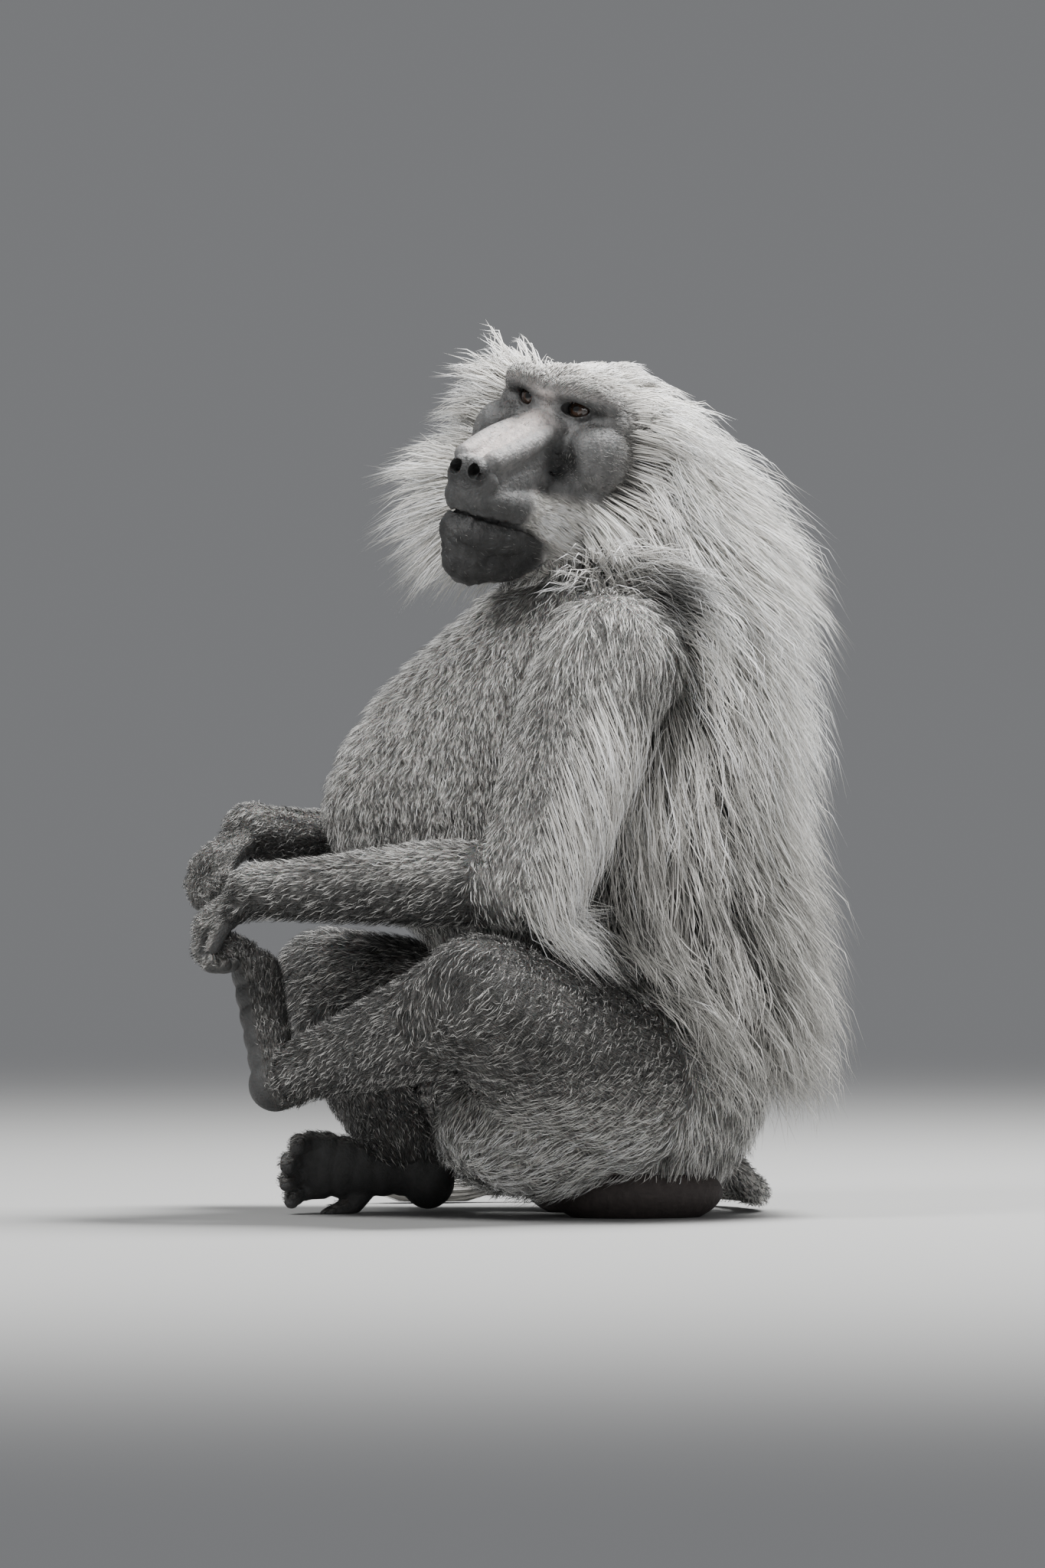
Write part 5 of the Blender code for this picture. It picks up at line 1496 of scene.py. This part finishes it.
tree.links.new(shader.outputs["BSDF"], blend.inputs[1])
tree.links.new(air.outputs["BSDF"], blend.inputs[2])
tree.links.new(blend.outputs["Shader"], tree.nodes["Material Output"].inputs["Surface"])
VIEW_TURN = math.radians(80)
VIEW_RISE = math.radians(1)
level = math.cos(VIEW_RISE)
away = Vector((math.sin(VIEW_TURN) * level, -math.cos(VIEW_TURN) * level, math.sin(VIEW_RISE)))
right = Vector((math.cos(VIEW_TURN), math.sin(VIEW_TURN), 0))
up = away.cross(right)

FLOOR_RADIUS = 5.0
form = bmesh.new()
bmesh.ops.create_circle(form, cap_ends=True, radius=FLOOR_RADIUS, segments=96)
floor = put("studio_floor", form)
floor.data.materials.append(studio_paint)

world = bpy.data.worlds.new("studio_air")
world.use_nodes = True
world.node_tree.nodes["Background"].inputs["Color"].default_value = (0.55, 0.56, 0.58, 1)
world.node_tree.nodes["Background"].inputs["Strength"].default_value = 0.35
bpy.context.scene.world = world


def lamp(name, place, target, size, power):
    """A round soft lamp that faces its target."""
    light = bpy.data.lights.new(name, "AREA")
    light.shape = "DISK"
    light.size = size
    light.energy = power
    made = bpy.data.objects.new(name, light)
    facing = (place - target).to_track_quat("Z", "Y").to_matrix().to_4x4()
    made.matrix_world = Matrix.Translation(place) @ facing
    bpy.context.scene.collection.objects.link(made)


middle = Vector((0, 0, 0.35))
lamp("key_lamp", middle + away * 1.6 - right * 1.6 + Vector((0, 0, 2.2)), middle, 1.2, 95)
lamp("top_lamp", middle + right * 1.1 - away * 0.5 + Vector((0, 0, 2.4)), middle, 1.4, 260)
lamp("fill_lamp", middle + away * 2.6 + right * 1.4 + Vector((0, 0, 0.6)), middle, 1.6, 12)

# The picture's rows and the size of one of them at the animal, in metres, give the height in view
PICTURE_ROWS = 2048
PIXEL_SIZE = 0.00062
FRAME_HEIGHT = PICTURE_ROWS * PIXEL_SIZE
LENS_AWAY = 14.0
SENSOR_WIDTH = 36.0
camera_data = bpy.data.cameras.new("camera")
camera_data.sensor_width = SENSOR_WIDTH
camera_data.lens = SENSOR_WIDTH * LENS_AWAY / FRAME_HEIGHT
camera = bpy.data.objects.new("camera", camera_data)
bpy.context.scene.collection.objects.link(camera)
target = right * -0.011 + Vector((0, 0, 0.349)) + SHIFT
facing = Matrix((right, up, away)).transposed().to_4x4()
camera.matrix_world = Matrix.Translation(target + away * LENS_AWAY) @ facing
bpy.context.scene.camera = camera
